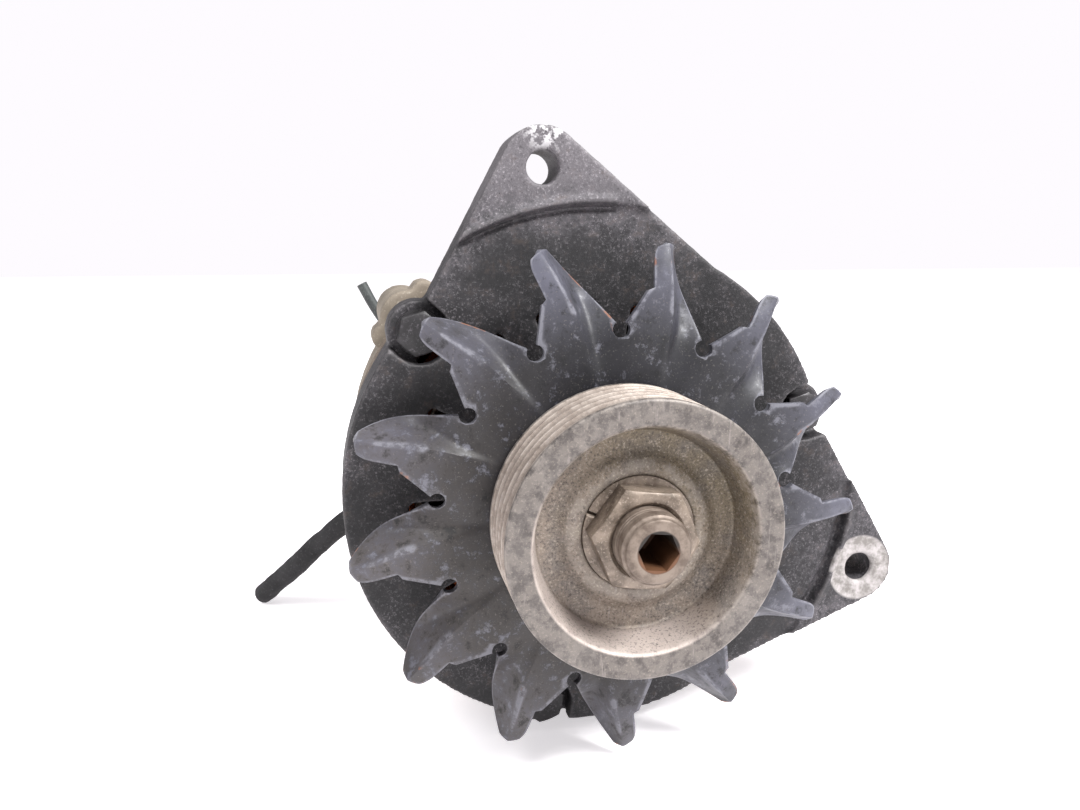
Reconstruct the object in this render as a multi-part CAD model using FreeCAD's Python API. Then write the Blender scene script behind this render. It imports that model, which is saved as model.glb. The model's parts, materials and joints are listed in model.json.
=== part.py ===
import FreeCAD, Part
import math
import os

# Car alternator: fan-cooled, ribbed-belt pulley, two mounting lugs on the drive-end bracket.
# Frame: millimetres, +Z up, shaft along Y with the pulley towards -Y.
# The origin lies on the shaft axis in the middle of the belt.

os.makedirs("parts", exist_ok=True)
V = FreeCAD.Vector
ORIGIN = V(0, 0, 0)
SHAFT_AXIS = V(0, 1, 0)

# ---------------------------------------------------------------- driving sizes
# Pulley
pulley_radius = 32.0
pulley_width = 21.0
rib_pitch = 3.56
rib_count = 5
rib_depth = 2.6
rib_top_flat = 0.7
rib_half_angle = 20.0
cup_mouth_radius = 25.9
cup_floor_radius = 23.6
cup_depth = 9.5
cup_web = 4.2
cup_corner = 1.5
rim_chamfer = 0.6
edge_chamfer = 0.5
rear_wall_taper = 1.0
rim_section = 3.0
pulley_hub_radius = 17.0
pulley_hub_standoff = 1.9
washer_ring_radius = 15.6
washer_ring_rise = 1.5
washer_recess = 2.2

# Shaft, nut and washer
seat_radius = 8.5
thread_radius = seat_radius - 0.5
core_radius = seat_radius + 1.5
rear_seat_radius = seat_radius - 1.0
shaft_nose = 16.0
socket_flats = 8.0
socket_depth = 14.0
nut_flats = 22.0
nut_height = 6.2
nut_turn = 173.0
washer_section = 2.5
washer_radius = 13.2
washer_split_angle = 155.0
key_width = 4.0
key_length = 11.0
key_rise = 2.0
saw_cut = 1.0
saw_slant = 20.0
thread_chamfer = 1.2
nut_skirt = 0.6
spacer_radius = 12.0

# Fan
fan_blades = 13
fan_radius = 65.2
fan_thickness = 1.8
fan_hole_circle = 44.16
fan_hole_radius = 2.0
fan_first_hole = 89.85
fan_clearance = 17.5

# Drive-end bracket
body_radius = 65.4
bracket_depth = 15.8
face_wall = 4.8
rim_wall = 5.1
lug_places = ((83.2, 100.3), (82.4, -19.4))
lug_radius = 10.0
lug_bore = 8.2
lug_thickness = 12.0
ear_spread = 32.5
ear_tuck = 1.2
pad_circle = 73.45
pad_rise = 1.5
spot_face_radius = 9.4
spot_face_depth = 0.3
bearing_lip = 2.0
bearing_stand = 1.7
front_hub_radius = 30.0
vent_count = 12
vent_inner = 33.0
vent_outer = 49.0
vent_angle = 19.0
front_hub_chamfer = 3.0
hub_bore = 12.0
seal_bore = 13.0

# Through-bolts
bolt_circle = 61.6
bolt_angles = (137.0, 257.0, 17.0)
bolt_radius = 3.0
bolt_head_flats = 10.0
bolt_head_height = 4.0
bolt_boss_radius = 8.0
bolt_pocket_radius = 7.5
bolt_seat = 5.8
bolt_washer_radius = 5.8
bolt_washer_height = 1.0
bolt_pocket_reach = 76.0
bolt_grip = 4.0

# Front bearing's retainer
retainer_thickness = 2.0
retainer_bore = 17.0
retainer_edge = 0.5
retainer_screw_radius = 2.0
retainer_screw_circle = 26.6
retainer_screw_length = 8.0
retainer_head_radius = 3.4
retainer_head_height = 1.2
retainer_slot_width = 0.8
retainer_slot_depth = 0.5

# Bearings: outer radius, width, ball radius, ball count
front_bearing = dict(outer=23.5, width=14.0, ball=4.36, balls=7)
rear_bearing = dict(outer=17.5, width=11.0, ball=2.97, balls=8)
race_wall = 0.45
shield_thickness = 0.5
shield_inset = 0.4
cage_half = 0.6
cage_share = 0.62

# Rotor
rotor_radius = 44.6
rotor_gap = 2.0
pole_disc = 10.0
stator_stack = 28.5
pole_width = stator_stack + 1.5
pole_pairs = 6
claw_root = 10.8
claw_tip = 4.2
claw_root_inner = 36.0
claw_tip_inner = 41.0
pole_core_radius = 20.0
bobbin_radius = 33.0
bobbin_wall = 1.2
coil_margin = 1.0
pole_chamfer = 1.5
claw_short = 1.0
pole_disc_overlap = 5.0

# Stator
stator_radius = 63.2
slot_count = 36
slot_bottom = 56.0
slot_width = 3.4
winding_radius = 56.4
winding_overhang = 9.0
slot_lip = 0.6
winding_inset = 1.0

# Slip rings, brushes and regulator
slip_ring_radius = 14.0
slip_ring_width = 5.5
slip_ring_space = 3.0
slip_ring_wall = 2.0
slip_ring_start = 2.0
brush_size = (7.0, 5.0, 15.0)
brush_travel = 5.0
holder_wall = 1.6
holder_lift = 2.0
holder_headroom = 4.0
neck_lift = 7.0
spring_wire = 0.4
spring_radius = 1.7
spring_turns = 5
regulator_size = (46.0, 13.0, 26.0)
regulator_height = 24.5
fin_count = 7
fin_width = 2.0
fin_rise = 5.0
fin_margin = 4.0
fin_inset = 3.0
regulator_screw_radius = 2.0
regulator_screw_inset = 5.0
regulator_screw_lift = 7.0
regulator_head_radius = 3.6
regulator_head_height = 2.6
regulator_head_well = 4.2
cross_length = 4.4
cross_width = 0.8
cross_depth = 1.4

# Slip-ring-end bracket
rear_radius = 62.0
rear_wall = 5.0
rear_bearing_cap = 2.0
slip_to_bearing = 1.0
rear_rim_wall = 4.6
rear_hub_radius = 22.0
rear_boss_radius = 8.0
rear_rib_radius = 3.6
rear_rib_circle = 63.6
rear_rib_spread = 8.0
rear_rib_length = 14.0
rear_vents = 28
rear_vent_inner = 30.0
rear_vent_outer = 45.0
rear_vent_width = 6.4
rear_edge_chamfer = 5.0
rear_boss_gap = 3.0

# Rectifier
sink_inner = 27.0
sink_outer = 50.0
sink_thickness = 3.0
sink_gap = 7.0
sink_open_angle = 84.0
diode_radius = 6.0
diode_circle = 38.5
diode_angles = (235.0, 285.0, 325.0)
sink_post_angles = (172.0, 262.0, 352.0)
sink_post_circle = 45.0
sink_post_radius = 2.0
sink_post_tube = 4.0
sink_standoff = 3.0
sink_nut_flats = 7.0
sink_nut_height = 2.8
sink_head_radius = 3.4
sink_head_height = 2.0
diode_wire_radius = 0.8
diode_wire_length = 4.0
sink_turn = 10.0

# Terminals and leads
charge_terminal = (-40.0, -16.0)
charge_stud_radius = 3.0
lamp_terminal = (-31.0, 19.0)
lamp_stud_radius = 2.0
stud_reach = 14.0
stud_chamfer = 0.6
stud_relief_depth = 0.4
stud_relief_width = 0.6
stud_clearance = 3.0
bush_radius = 5.0
bush_flange = 8.0
bush_height = 3.0
ring_plate = 1.2
charge_nut = (10.0, 5.0)
lamp_nut = (7.0, 3.2)
barrel_length = 9.0
barrel_overlap = 1.0
crimp_depth = 6.5
charge_heading = 211.0
charge_reach = 9.0
lamp_heading = 140.0
lamp_reach = 7.0
charge_lead_radius = 3.7
lamp_lead_radius = 1.75
# Each lead's further points: x, y behind its exit, and z.
charge_lead_run = [(-63.2, -1.0, -30.2), (-75.5, 2.9, -41.2), (-86.6, 10.4, -53.9),
                   (-97.0, 20.1, -65.2)]
lamp_lead_run = [(-43.6, 0.0, 29.6), (-49.0, -0.95, 35.6), (-53.4, 0.05, 42.0), (-57.2, 1.25, 49.8)]
capacitor_radius = 9.5
capacitor_length = 34.0
capacitor_place = (20.0, -33.0)
capacitor_stand = 1.0
capacitor_cap = 3.0
clamp_width = 12.0
clamp_sheet = 1.0
clamp_reach = 12.0
capacitor_screw_radius = 2.0
capacitor_screw_offset = 7.0
capacitor_screw_flats = 7.0
capacitor_screw_head = 3.0

# Clearances
ball_clearance = 0.04
brush_clearance = 0.06
key_clearance = 0.2
hole_clearance = 0.3
air_gap = 0.4
wire_clearance = 0.2
cavity_clearance = 0.8
neck_clearance = 0.5

# ---------------------------------------------------------------- stations along the shaft
pulley_front = -pulley_width / 2
pulley_rear = pulley_width / 2
cup_floor = pulley_front + cup_depth
washer_ring_front = cup_floor - washer_ring_rise
washer_rear = washer_ring_front + washer_recess
washer_front = washer_rear - washer_section
nut_front = washer_front - nut_height
fan_front = pulley_rear + pulley_hub_standoff
fan_rear = fan_front + fan_thickness
rim_front = fan_rear + fan_clearance
bearing_front = rim_front - bearing_stand
bearing_rear = bearing_front + front_bearing["width"]
hub_front = bearing_front - bearing_lip
stator_front = rim_front + bracket_depth
stator_rear = stator_front + stator_stack
retainer_rear = bearing_rear + retainer_thickness
rotor_front = retainer_rear + rotor_gap
rotor_rear = rotor_front + pole_width
rotor_middle = (rotor_front + rotor_rear) / 2
slip_front = rotor_rear + slip_ring_start
slip_rear = slip_front + 2 * slip_ring_width + slip_ring_space + 2 * slip_ring_wall
rear_bearing_front = slip_rear + slip_to_bearing
rear_bearing_rear = rear_bearing_front + rear_bearing["width"]
rear_face = rear_bearing_rear + rear_bearing_cap
bolt_seat_face = rim_front + bolt_seat
bolt_hole = bolt_radius + hole_clearance
brush_base = slip_ring_radius + brush_clearance
holder_bottom = slip_ring_radius + holder_lift
holder_top = brush_base + brush_size[2] + brush_travel + holder_headroom
wall_front = rear_face - rear_wall
sink_rear = wall_front - sink_standoff
sink_front = sink_rear - 2 * sink_thickness - sink_gap
positive_face = sink_rear - sink_thickness
nut_seat = rear_face + bush_height + ring_plate
capacitor_axis = rear_face + capacitor_radius + capacitor_stand
retainer_angles = (45.0, 135.0, 225.0, 315.0)


# ---------------------------------------------------------------- small helpers
def polar(radius, degrees, y=0.0):
    """Point at a radius and an angle seen from the front, counted from +X towards +Z."""
    angle = math.radians(degrees)
    return V(radius * math.cos(angle), y, radius * math.sin(angle))


def rod(radius, y0, y1, x=0.0, z=0.0):
    return Part.makeCylinder(radius, y1 - y0, V(x, y0, z), SHAFT_AXIS)


def ring(outer, inner, y0, y1, x=0.0, z=0.0):
    return rod(outer, y0, y1, x, z).cut(rod(inner, y0, y1, x, z))


def turned(profile):
    """Solid of revolution about the shaft from (radius, y) points."""
    points = [V(radius, y, 0) for radius, y in profile]
    wire = Part.makePolygon(points + [points[0]])
    return Part.Face(wire).revolve(ORIGIN, SHAFT_AXIS, 360)


def slab(points, y0, y1):
    """Prism along the shaft from (x, z) outline points."""
    corners = [V(x, y0, z) for x, z in points]
    face = Part.Face(Part.makePolygon(corners + [corners[0]]))
    return face.extrude(V(0, y1 - y0, 0))


def hexagon(flats, y0, y1, turn=0.0, x=0.0, z=0.0):
    radius = flats / math.sqrt(3)
    corners = [polar(radius, turn + 60 * i) for i in range(6)]
    return slab([(x + p.x, z + p.z) for p in corners], y0, y1)


def block(x0, x1, y0, y1, z0, z1):
    return Part.makeBox(x1 - x0, y1 - y0, z1 - z0, V(x0, y0, z0))


def spun(shape, degrees):
    """Copy turned about the shaft, counter-clockwise seen from the front."""
    copy = shape.copy()
    copy.rotate(ORIGIN, SHAFT_AXIS, -degrees)
    return copy


def around(shape, angles):
    return [spun(shape, angle) for angle in angles]


def spaced(count, start=0.0):
    return [start + 360 / count * i for i in range(count)]


def moved(shape, x, y, z):
    copy = shape.copy()
    copy.translate(V(x, y, z))
    return copy


def fused(shapes):
    return shapes[0].multiFuse(shapes[1:]).removeSplitter()


def cut_all(shape, tools):
    return shape.cut(tools).removeSplitter()


def save(name, *shapes):
    solids = [solid for shape in shapes for solid in shape.Solids]
    body = solids[0] if len(solids) == 1 else Part.makeCompound(solids)
    body.exportStep("parts/" + name + ".step")


def folded_sheet(rows, offset):
    """Closed sheet of flat facets: rows of front points, its back moved by offset."""
    back = [[point + offset for point in row] for row in rows]
    faces = []

    def facet(a, b, c):
        faces.append(Part.Face(Part.makePolygon([a, b, c, a])))

    def panel(a, b, c, d):
        facet(a, b, c)
        facet(a, c, d)

    last_row = len(rows) - 1
    last_column = len(rows[0]) - 1
    for i in range(last_row):
        for j in range(last_column):
            panel(rows[i][j], rows[i][j + 1], rows[i + 1][j + 1], rows[i + 1][j])
            panel(back[i][j], back[i][j + 1], back[i + 1][j + 1], back[i + 1][j])
        for j in (0, last_column):
            panel(rows[i][j], rows[i + 1][j], back[i + 1][j], back[i][j])
    for i in (0, last_row):
        for j in range(last_column):
            panel(rows[i][j], rows[i][j + 1], back[i][j + 1], back[i][j])
    return Part.Solid(Part.Shell(faces))


# ---------------------------------------------------------------- pulley end
def key_block(clearance):
    """Half-round key that locks the pulley and the fan to the shaft."""
    half = key_width / 2 + clearance
    top = seat_radius + key_rise + clearance
    y0 = fan_rear - key_length - clearance
    return block(-half, half, y0, fan_rear + clearance, seat_radius - key_rise - clearance, top)


def pulley():
    half_groove = rib_pitch / 2 - rib_top_flat / 2
    tip_width = half_groove - rib_depth * math.tan(math.radians(rib_half_angle))
    root = pulley_radius - rib_depth
    profile = [(seat_radius, washer_rear), (washer_radius + hole_clearance, washer_rear)]
    profile += [(washer_radius + hole_clearance, washer_ring_front)]
    profile += [(washer_ring_radius, washer_ring_front)]
    profile += [(washer_ring_radius + 2 * washer_ring_rise, cup_floor)]
    profile += [(cup_floor_radius - cup_corner, cup_floor), (cup_floor_radius, cup_floor - cup_corner)]
    profile += [(cup_mouth_radius, pulley_front + rim_chamfer)]
    profile += [(cup_mouth_radius + rim_chamfer, pulley_front)]
    profile += [(pulley_radius - edge_chamfer, pulley_front)]
    profile += [(pulley_radius, pulley_front + edge_chamfer)]
    first = -rib_pitch * (rib_count - 1) / 2
    for i in range(rib_count):
        centre = first + i * rib_pitch
        profile += [(pulley_radius, centre - half_groove), (root, centre - tip_width)]
        profile += [(root, centre + tip_width), (pulley_radius, centre + half_groove)]
    rim_inner = root - rim_section
    profile += [(pulley_radius, pulley_rear), (rim_inner, pulley_rear)]
    profile += [(rim_inner - rear_wall_taper, cup_floor + cup_web)]
    profile += [(pulley_hub_radius, cup_floor + cup_web)]
    profile += [(pulley_hub_radius, fan_front), (seat_radius, fan_front)]
    body = turned(profile)
    return cut_all(body, [key_block(key_clearance)])


def spring_washer():
    """Split ring: one end lifted against the other by the saw cut's slant."""
    body = ring(washer_radius, seat_radius + hole_clearance, washer_front, washer_rear)
    slot = block(seat_radius, washer_radius + 1, washer_front - 1, washer_rear + 1,
                 -saw_cut / 2, saw_cut / 2)
    slot.rotate(V(washer_radius, washer_front, 0), V(1, 0, 0), saw_slant)
    return cut_all(body, [spun(slot, washer_split_angle)])


def pulley_nut():
    corner = nut_flats / math.sqrt(3)
    chamfer = corner - nut_flats / 2 + nut_skirt
    body = hexagon(nut_flats, nut_front, washer_front, nut_turn)
    skirt = nut_front + 0.55 * chamfer
    dome = turned([
        (0, nut_front), (corner - chamfer, nut_front), (corner + 0.1, skirt),
        (corner + 0.1, washer_front), (0, washer_front),
    ])
    return body.common(dome).cut(rod(thread_radius, nut_front, washer_front))


def cooling_fan():
    """Pressed disc whose slit sectors end in fingers, each with one side folded back as a vane."""
    step = 360 / fan_blades
    root_turn = fan_first_hole + step
    disc = rod(fan_hole_circle + 0.5, fan_front, fan_rear)
    petal = slab(
        [(0, 40), (0, fan_hole_circle), (6.3, 53.3), (7.8, 53.9), (12.4, 53.0),
         (12.3, 45.5), (20.2, 39.4), (16, 36)],
        fan_front, fan_rear,
    )
    # Finger and vane: left edge, ridge and folded edge from the tip inwards, as (x, z, depth).
    finger = [
        [(8.8, 62.8, 3.0), (12.2, fan_radius - 1.3, 3.4), (13.8, 63.5, 5.5)],
        [(8.2, 58.0, 1.6), (12.2, 58.0, 1.4), (16.2, 58.1, 10.0)],
        [(7.8, 53.9, 0.6), (12.4, 53.0, 0.4), (17.4, 54.2, 11.0)],
        [(7.0, 50.0, 0.0), (12.3, 49.0, 0.0), (18.9, 48.5, 7.0)],
        [(6.5, 46.0, 0.0), (12.3, 45.5, 0.0), (20.2, 42.5, 1.2)],
    ]
    rows = [[V(x, fan_front + depth, z) for x, z, depth in row] for row in finger]
    vane = folded_sheet(rows, V(-0.9, fan_thickness, 0))
    blade = petal.fuse(vane)
    # A blade is drawn with its left relief hole at the top, then spun to each hole.
    blades = around(blade, [angle - 90 for angle in spaced(fan_blades, root_turn)])
    hole = rod(fan_hole_radius, fan_front - 1, fan_rear + 1, 0, fan_hole_circle)
    holes = around(hole, [angle - 90 for angle in spaced(fan_blades, root_turn)])
    body = fused([disc] + blades)
    bore = rod(seat_radius, fan_front - 1, fan_rear + 1)
    return cut_all(body, holes + [bore, key_block(key_clearance)])


def fan_spacer():
    return ring(spacer_radius, seat_radius, fan_rear, bearing_front)


save("pulley", pulley())
save("spring_washer", spring_washer())
save("pulley_nut", pulley_nut())
save("shaft_key", key_block(0))
save("cooling_fan", cooling_fan())
save("fan_spacer", fan_spacer())

# ---------------------------------------------------------------- rotor
def rotor_shaft():
    profile = [
        (0, -shaft_nose), (thread_radius - thread_chamfer, -shaft_nose),
        (thread_radius, -shaft_nose + thread_chamfer),
        (thread_radius, washer_front), (seat_radius, washer_rear), (seat_radius, bearing_rear),
        (core_radius, bearing_rear), (core_radius, rotor_rear), (seat_radius, rotor_rear),
        (seat_radius, rear_bearing_front), (rear_seat_radius, rear_bearing_front),
        (rear_seat_radius, rear_bearing_rear), (0, rear_bearing_rear),
    ]
    socket = hexagon(socket_flats, -shaft_nose, -shaft_nose + socket_depth, nut_turn)
    return turned(profile).cut([socket, key_block(0)])


def claw_pole():
    """Front pole: a disc with tapering fingers that reach back over the coil."""
    tip = rotor_rear - claw_short
    disc_rear = rotor_front + pole_disc
    envelope = turned([
        (core_radius, rotor_front), (rotor_radius - pole_chamfer, rotor_front),
        (rotor_radius, rotor_front + pole_chamfer),
        (rotor_radius, tip), (claw_tip_inner, tip), (claw_root_inner, disc_rear),
        (core_radius, disc_rear),
    ])
    claw = [
        V(-claw_root, rotor_front, 0), V(claw_root, rotor_front, 0), V(claw_root, disc_rear, 0),
        V(claw_tip, tip, 0), V(-claw_tip, tip, 0), V(-claw_root, disc_rear, 0),
    ]
    prism = Part.Face(Part.makePolygon(claw + [claw[0]])).extrude(V(0, 0, rotor_radius + 1))
    claws = [envelope.common(spun(prism, angle)) for angle in spaced(pole_pairs)]
    hub = ring(claw_root_inner - pole_disc_overlap, core_radius, rotor_front, disc_rear)
    core = ring(pole_core_radius, core_radius, disc_rear, rotor_middle)
    return fused([hub, core] + claws)


def rear_claw_pole(front_pole):
    middle = V(0, rotor_middle, 0)
    return spun(front_pole.mirror(middle, SHAFT_AXIS), 180 / pole_pairs)


def coil_bobbin():
    y0 = rotor_front + pole_disc
    y1 = rotor_rear - pole_disc
    return turned([
        (pole_core_radius, y0), (bobbin_radius, y0), (bobbin_radius, y0 + bobbin_wall),
        (pole_core_radius + bobbin_wall, y0 + bobbin_wall),
        (pole_core_radius + bobbin_wall, y1 - bobbin_wall),
        (bobbin_radius, y1 - bobbin_wall), (bobbin_radius, y1), (pole_core_radius, y1),
    ])


def field_coil():
    y0 = rotor_front + pole_disc + bobbin_wall
    y1 = rotor_rear - pole_disc - bobbin_wall
    return ring(bobbin_radius - coil_margin, pole_core_radius + bobbin_wall, y0, y1)


def slip_ring_places():
    first = slip_front + slip_ring_wall
    second = first + slip_ring_width + slip_ring_space
    return [first, second]


def slip_rings():
    inner = slip_ring_radius - slip_ring_wall
    return [ring(slip_ring_radius, inner, y, y + slip_ring_width) for y in slip_ring_places()]


def slip_ring_moulding():
    """Insulating sleeve that keeps the two copper rings apart on the shaft."""
    body = ring(slip_ring_radius, seat_radius, slip_front, slip_rear)
    return cut_all(body, slip_rings())


# ---------------------------------------------------------------- bearings
def bearing(size, inner_radius, y0):
    """Deep-groove ball bearing: outer race, inner race, balls and ribbon cage."""
    outer = size["outer"]
    middle = y0 + size["width"] / 2
    pitch = (inner_radius + outer) / 2
    ball = size["ball"]
    groove = ball + ball_clearance
    shoulder = race_wall * ball
    channel = Part.makeTorus(pitch, groove, V(0, middle, 0), SHAFT_AXIS)
    y1 = y0 + size["width"]
    outer_race = ring(outer, pitch + shoulder, y0, y1).cut(channel)
    inner_race = ring(pitch - shoulder, inner_radius, y0, y1).cut(channel)
    balls = []
    pockets = []
    for angle in spaced(size["balls"]):
        place = polar(pitch, angle, middle)
        balls.append(Part.makeSphere(ball, place))
        pockets.append(Part.makeSphere(groove, place))
    rail = ball * cage_share
    cage = ring(pitch + cage_half, pitch - cage_half, middle - rail, middle + rail)
    return outer_race, inner_race, balls, cage.cut(pockets)


def bearing_shields(size, inner_radius, y0):
    """Pressed discs in the mouth of the outer race that keep the grease in."""
    pitch = (inner_radius + size["outer"]) / 2
    shoulder = race_wall * size["ball"]
    inner = pitch - shoulder + hole_clearance
    y1 = y0 + size["width"]
    fronts = (y0 + shield_inset, y1 - shield_inset - shield_thickness)
    return [ring(pitch + shoulder, inner, y, y + shield_thickness) for y in fronts]


# ---------------------------------------------------------------- drive-end bracket
def ear(lug_distance, lug_angle):
    """Outline of one mounting ear: tangent on one flank, a chord to the body on the other."""
    lug = polar(lug_distance, lug_angle)
    tangent = math.degrees(math.acos((body_radius - ear_tuck - lug_radius) / lug_distance))
    body_right = polar(body_radius - ear_tuck, lug_angle - tangent)
    lug_right = lug + polar(lug_radius, lug_angle - tangent)
    body_left = polar(body_radius, lug_angle + ear_spread)
    chord = body_left - lug
    reach = math.degrees(math.acos(lug_radius / chord.Length))
    heading = math.degrees(math.atan2(chord.z, chord.x))
    lug_left = lug + polar(lug_radius, heading - reach)
    corners = [(p.x, p.z) for p in (ORIGIN, body_right, lug_right, lug, lug_left, body_left)]
    return corners, lug


def drive_end_bracket():
    shell = rod(body_radius, rim_front, stator_front)
    solids = [shell]
    pads = []
    for distance, angle in lug_places:
        corners, lug = ear(distance, angle)
        lug_rear = rim_front + lug_thickness
        solids.append(slab(corners, rim_front, lug_rear))
        solids.append(rod(lug_radius, rim_front, lug_rear, lug.x, lug.z))
        pad = slab(corners, rim_front - pad_rise, rim_front)
        pad = pad.fuse(rod(lug_radius, rim_front - pad_rise, rim_front, lug.x, lug.z))
        pads.append(pad.cut(rod(pad_circle, rim_front - pad_rise, rim_front)))
    for angle in bolt_angles:
        place = polar(bolt_circle, angle)
        solids.append(rod(bolt_boss_radius, bolt_seat_face, stator_front, place.x, place.z))
    body = fused(solids + pads)

    inside = body_radius - rim_wall
    floor = rim_front + face_wall
    cavity = rod(inside, floor, stator_front).cut(rod(front_hub_radius, floor, bearing_rear))
    guards = []
    for angle in bolt_angles:
        guard = rod(bolt_boss_radius, floor, stator_front)
        place = polar(bolt_circle, angle)
        guards.append(moved(guard, place.x, 0, place.z))
    room = rod(winding_radius + cavity_clearance, floor, stator_front)
    keep = guards[0].multiFuse(guards[1:]).cut(room)
    body = body.cut(cavity.cut(keep))
    body = body.fuse(turned([
        (front_hub_radius, rim_front + 1), (front_hub_radius, bearing_rear),
        (hub_bore, bearing_rear), (hub_bore, hub_front),
        (front_hub_radius - front_hub_chamfer, hub_front), (front_hub_radius, rim_front - 0.5),
    ]))

    tools = [rod(front_bearing["outer"], bearing_front, stator_front)]
    tools.append(rod(seal_bore, hub_front - 1, stator_front))
    window = turned([
        (vent_inner, rim_front - 1), (vent_outer, rim_front - 1),
        (vent_outer, floor + 1), (vent_inner, floor + 1),
    ])
    half = math.radians(vent_angle / 2)
    far = 2 * vent_outer
    wedge = slab([(0, 0), (far * math.cos(half), -far * math.sin(half)),
                  (far * math.cos(half), far * math.sin(half))], rim_front - 1, floor + 1)
    tools += around(window.common(wedge), spaced(vent_count, lug_places[0][1]))
    for angle in bolt_angles:
        pocket = block(bolt_circle, bolt_pocket_reach, rim_front - 3, bolt_seat_face,
                       -bolt_pocket_radius, bolt_pocket_radius)
        tools.append(spun(pocket, angle))
        place = polar(bolt_circle, angle)
        tools.append(rod(bolt_pocket_radius, rim_front - 3, bolt_seat_face, place.x, place.z))
        tools.append(rod(bolt_hole, rim_front - 3, stator_front, place.x, place.z))
    pad_face = rim_front - pad_rise
    for distance, angle in lug_places:
        lug = polar(distance, angle)
        tools.append(rod(lug_bore / 2, pad_face - 1, rim_front + lug_thickness + 1, lug.x, lug.z))
    spot = polar(*lug_places[1])
    tools.append(rod(spot_face_radius, pad_face - 1, pad_face + spot_face_depth, spot.x, spot.z))
    tools += retainer_screw_holes(retainer_screw_radius)
    return cut_all(body, tools)


# ---------------------------------------------------------------- front bearing retainer
def retainer_screw_holes(radius):
    holes = []
    start = bearing_rear - retainer_screw_length
    for angle in retainer_angles:
        place = polar(retainer_screw_circle, angle)
        holes.append(rod(radius, start, bearing_rear, place.x, place.z))
    return holes


def bearing_retainer_plate():
    plate = ring(front_hub_radius - retainer_edge, retainer_bore, bearing_rear, retainer_rear)
    holes = []
    for angle in retainer_angles:
        place = polar(retainer_screw_circle, angle)
        hole = retainer_screw_radius + hole_clearance
        holes.append(rod(hole, bearing_rear, retainer_rear, place.x, place.z))
    return cut_all(plate, holes)


def retainer_screws():
    """Flat-headed screws, heads ahead of the rotor by most of its front gap."""
    screws = []
    start = bearing_rear - retainer_screw_length
    top = retainer_rear + retainer_head_height
    half = retainer_slot_width / 2
    for angle in retainer_angles:
        x, _, z = polar(retainer_screw_circle, angle)
        shank = rod(retainer_screw_radius, start, retainer_rear, x, z)
        head = rod(retainer_head_radius, retainer_rear, top, x, z)
        slot = block(x - 4, x + 4, top - retainer_slot_depth, top + 1, z - half, z + half)
        screws.append(shank.fuse(head).cut(slot))
    return screws


# ---------------------------------------------------------------- stator
def slot_bars(half_width, outer):
    inner = rotor_radius + air_gap + slot_lip
    bar = block(inner, outer, stator_front, stator_rear, -half_width, half_width)
    return around(bar, spaced(slot_count))


def stator_core():
    bore = rotor_radius + air_gap
    body = ring(stator_radius, bore, stator_front, stator_rear)
    slots = slot_bars(slot_width / 2, slot_bottom)
    mouths = []
    for angle in spaced(slot_count):
        mouth = block(bore - 1, bore + 1.5, stator_front, stator_rear,
                      -slot_width / 4, slot_width / 4)
        mouths.append(spun(mouth, angle))
    notches = []
    for angle in bolt_angles:
        place = polar(bolt_circle, angle)
        notches.append(rod(bolt_hole, stator_front, stator_rear, place.x, place.z))
        gap = block(bolt_circle, stator_radius + 1, stator_front, stator_rear, -bolt_hole, bolt_hole)
        notches.append(spun(gap, angle))
    return cut_all(body, slots + mouths + notches)


def stator_windings():
    """Copper end turns at both ends joined by the bars that lie in the slots."""
    bars = slot_bars(slot_width / 2 - wire_clearance, slot_bottom - wire_clearance)
    inner = rotor_radius + air_gap + slot_lip + winding_inset
    rings = []
    for near, far in ((stator_front, -winding_overhang), (stator_rear, winding_overhang)):
        rings.append(turned([
            (inner, near), (winding_radius - 1.5, near), (winding_radius, near + 0.3 * far),
            (winding_radius - 1.0, near + 0.8 * far), (winding_radius - 3.0, near + far),
            (inner + 2.0, near + far), (inner + 0.5, near + 0.8 * far),
        ]))
    return fused(rings + bars)


# ---------------------------------------------------------------- slip-ring-end bracket
def angle_of(place):
    return math.degrees(math.atan2(place[1], place[0]))


def vent_is_clear(angle):
    """Slots stay away from the regulator, the terminals and the rectifier posts."""
    keep_outs = [(90.0, 44.0)]
    keep_outs += [(angle_of(place), 14.0) for place in (charge_terminal, lamp_terminal)]
    keep_outs += [(post, 12.0) for post in sink_post_angles]
    return all(abs((angle - centre + 180) % 360 - 180) > reach for centre, reach in keep_outs)


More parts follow.
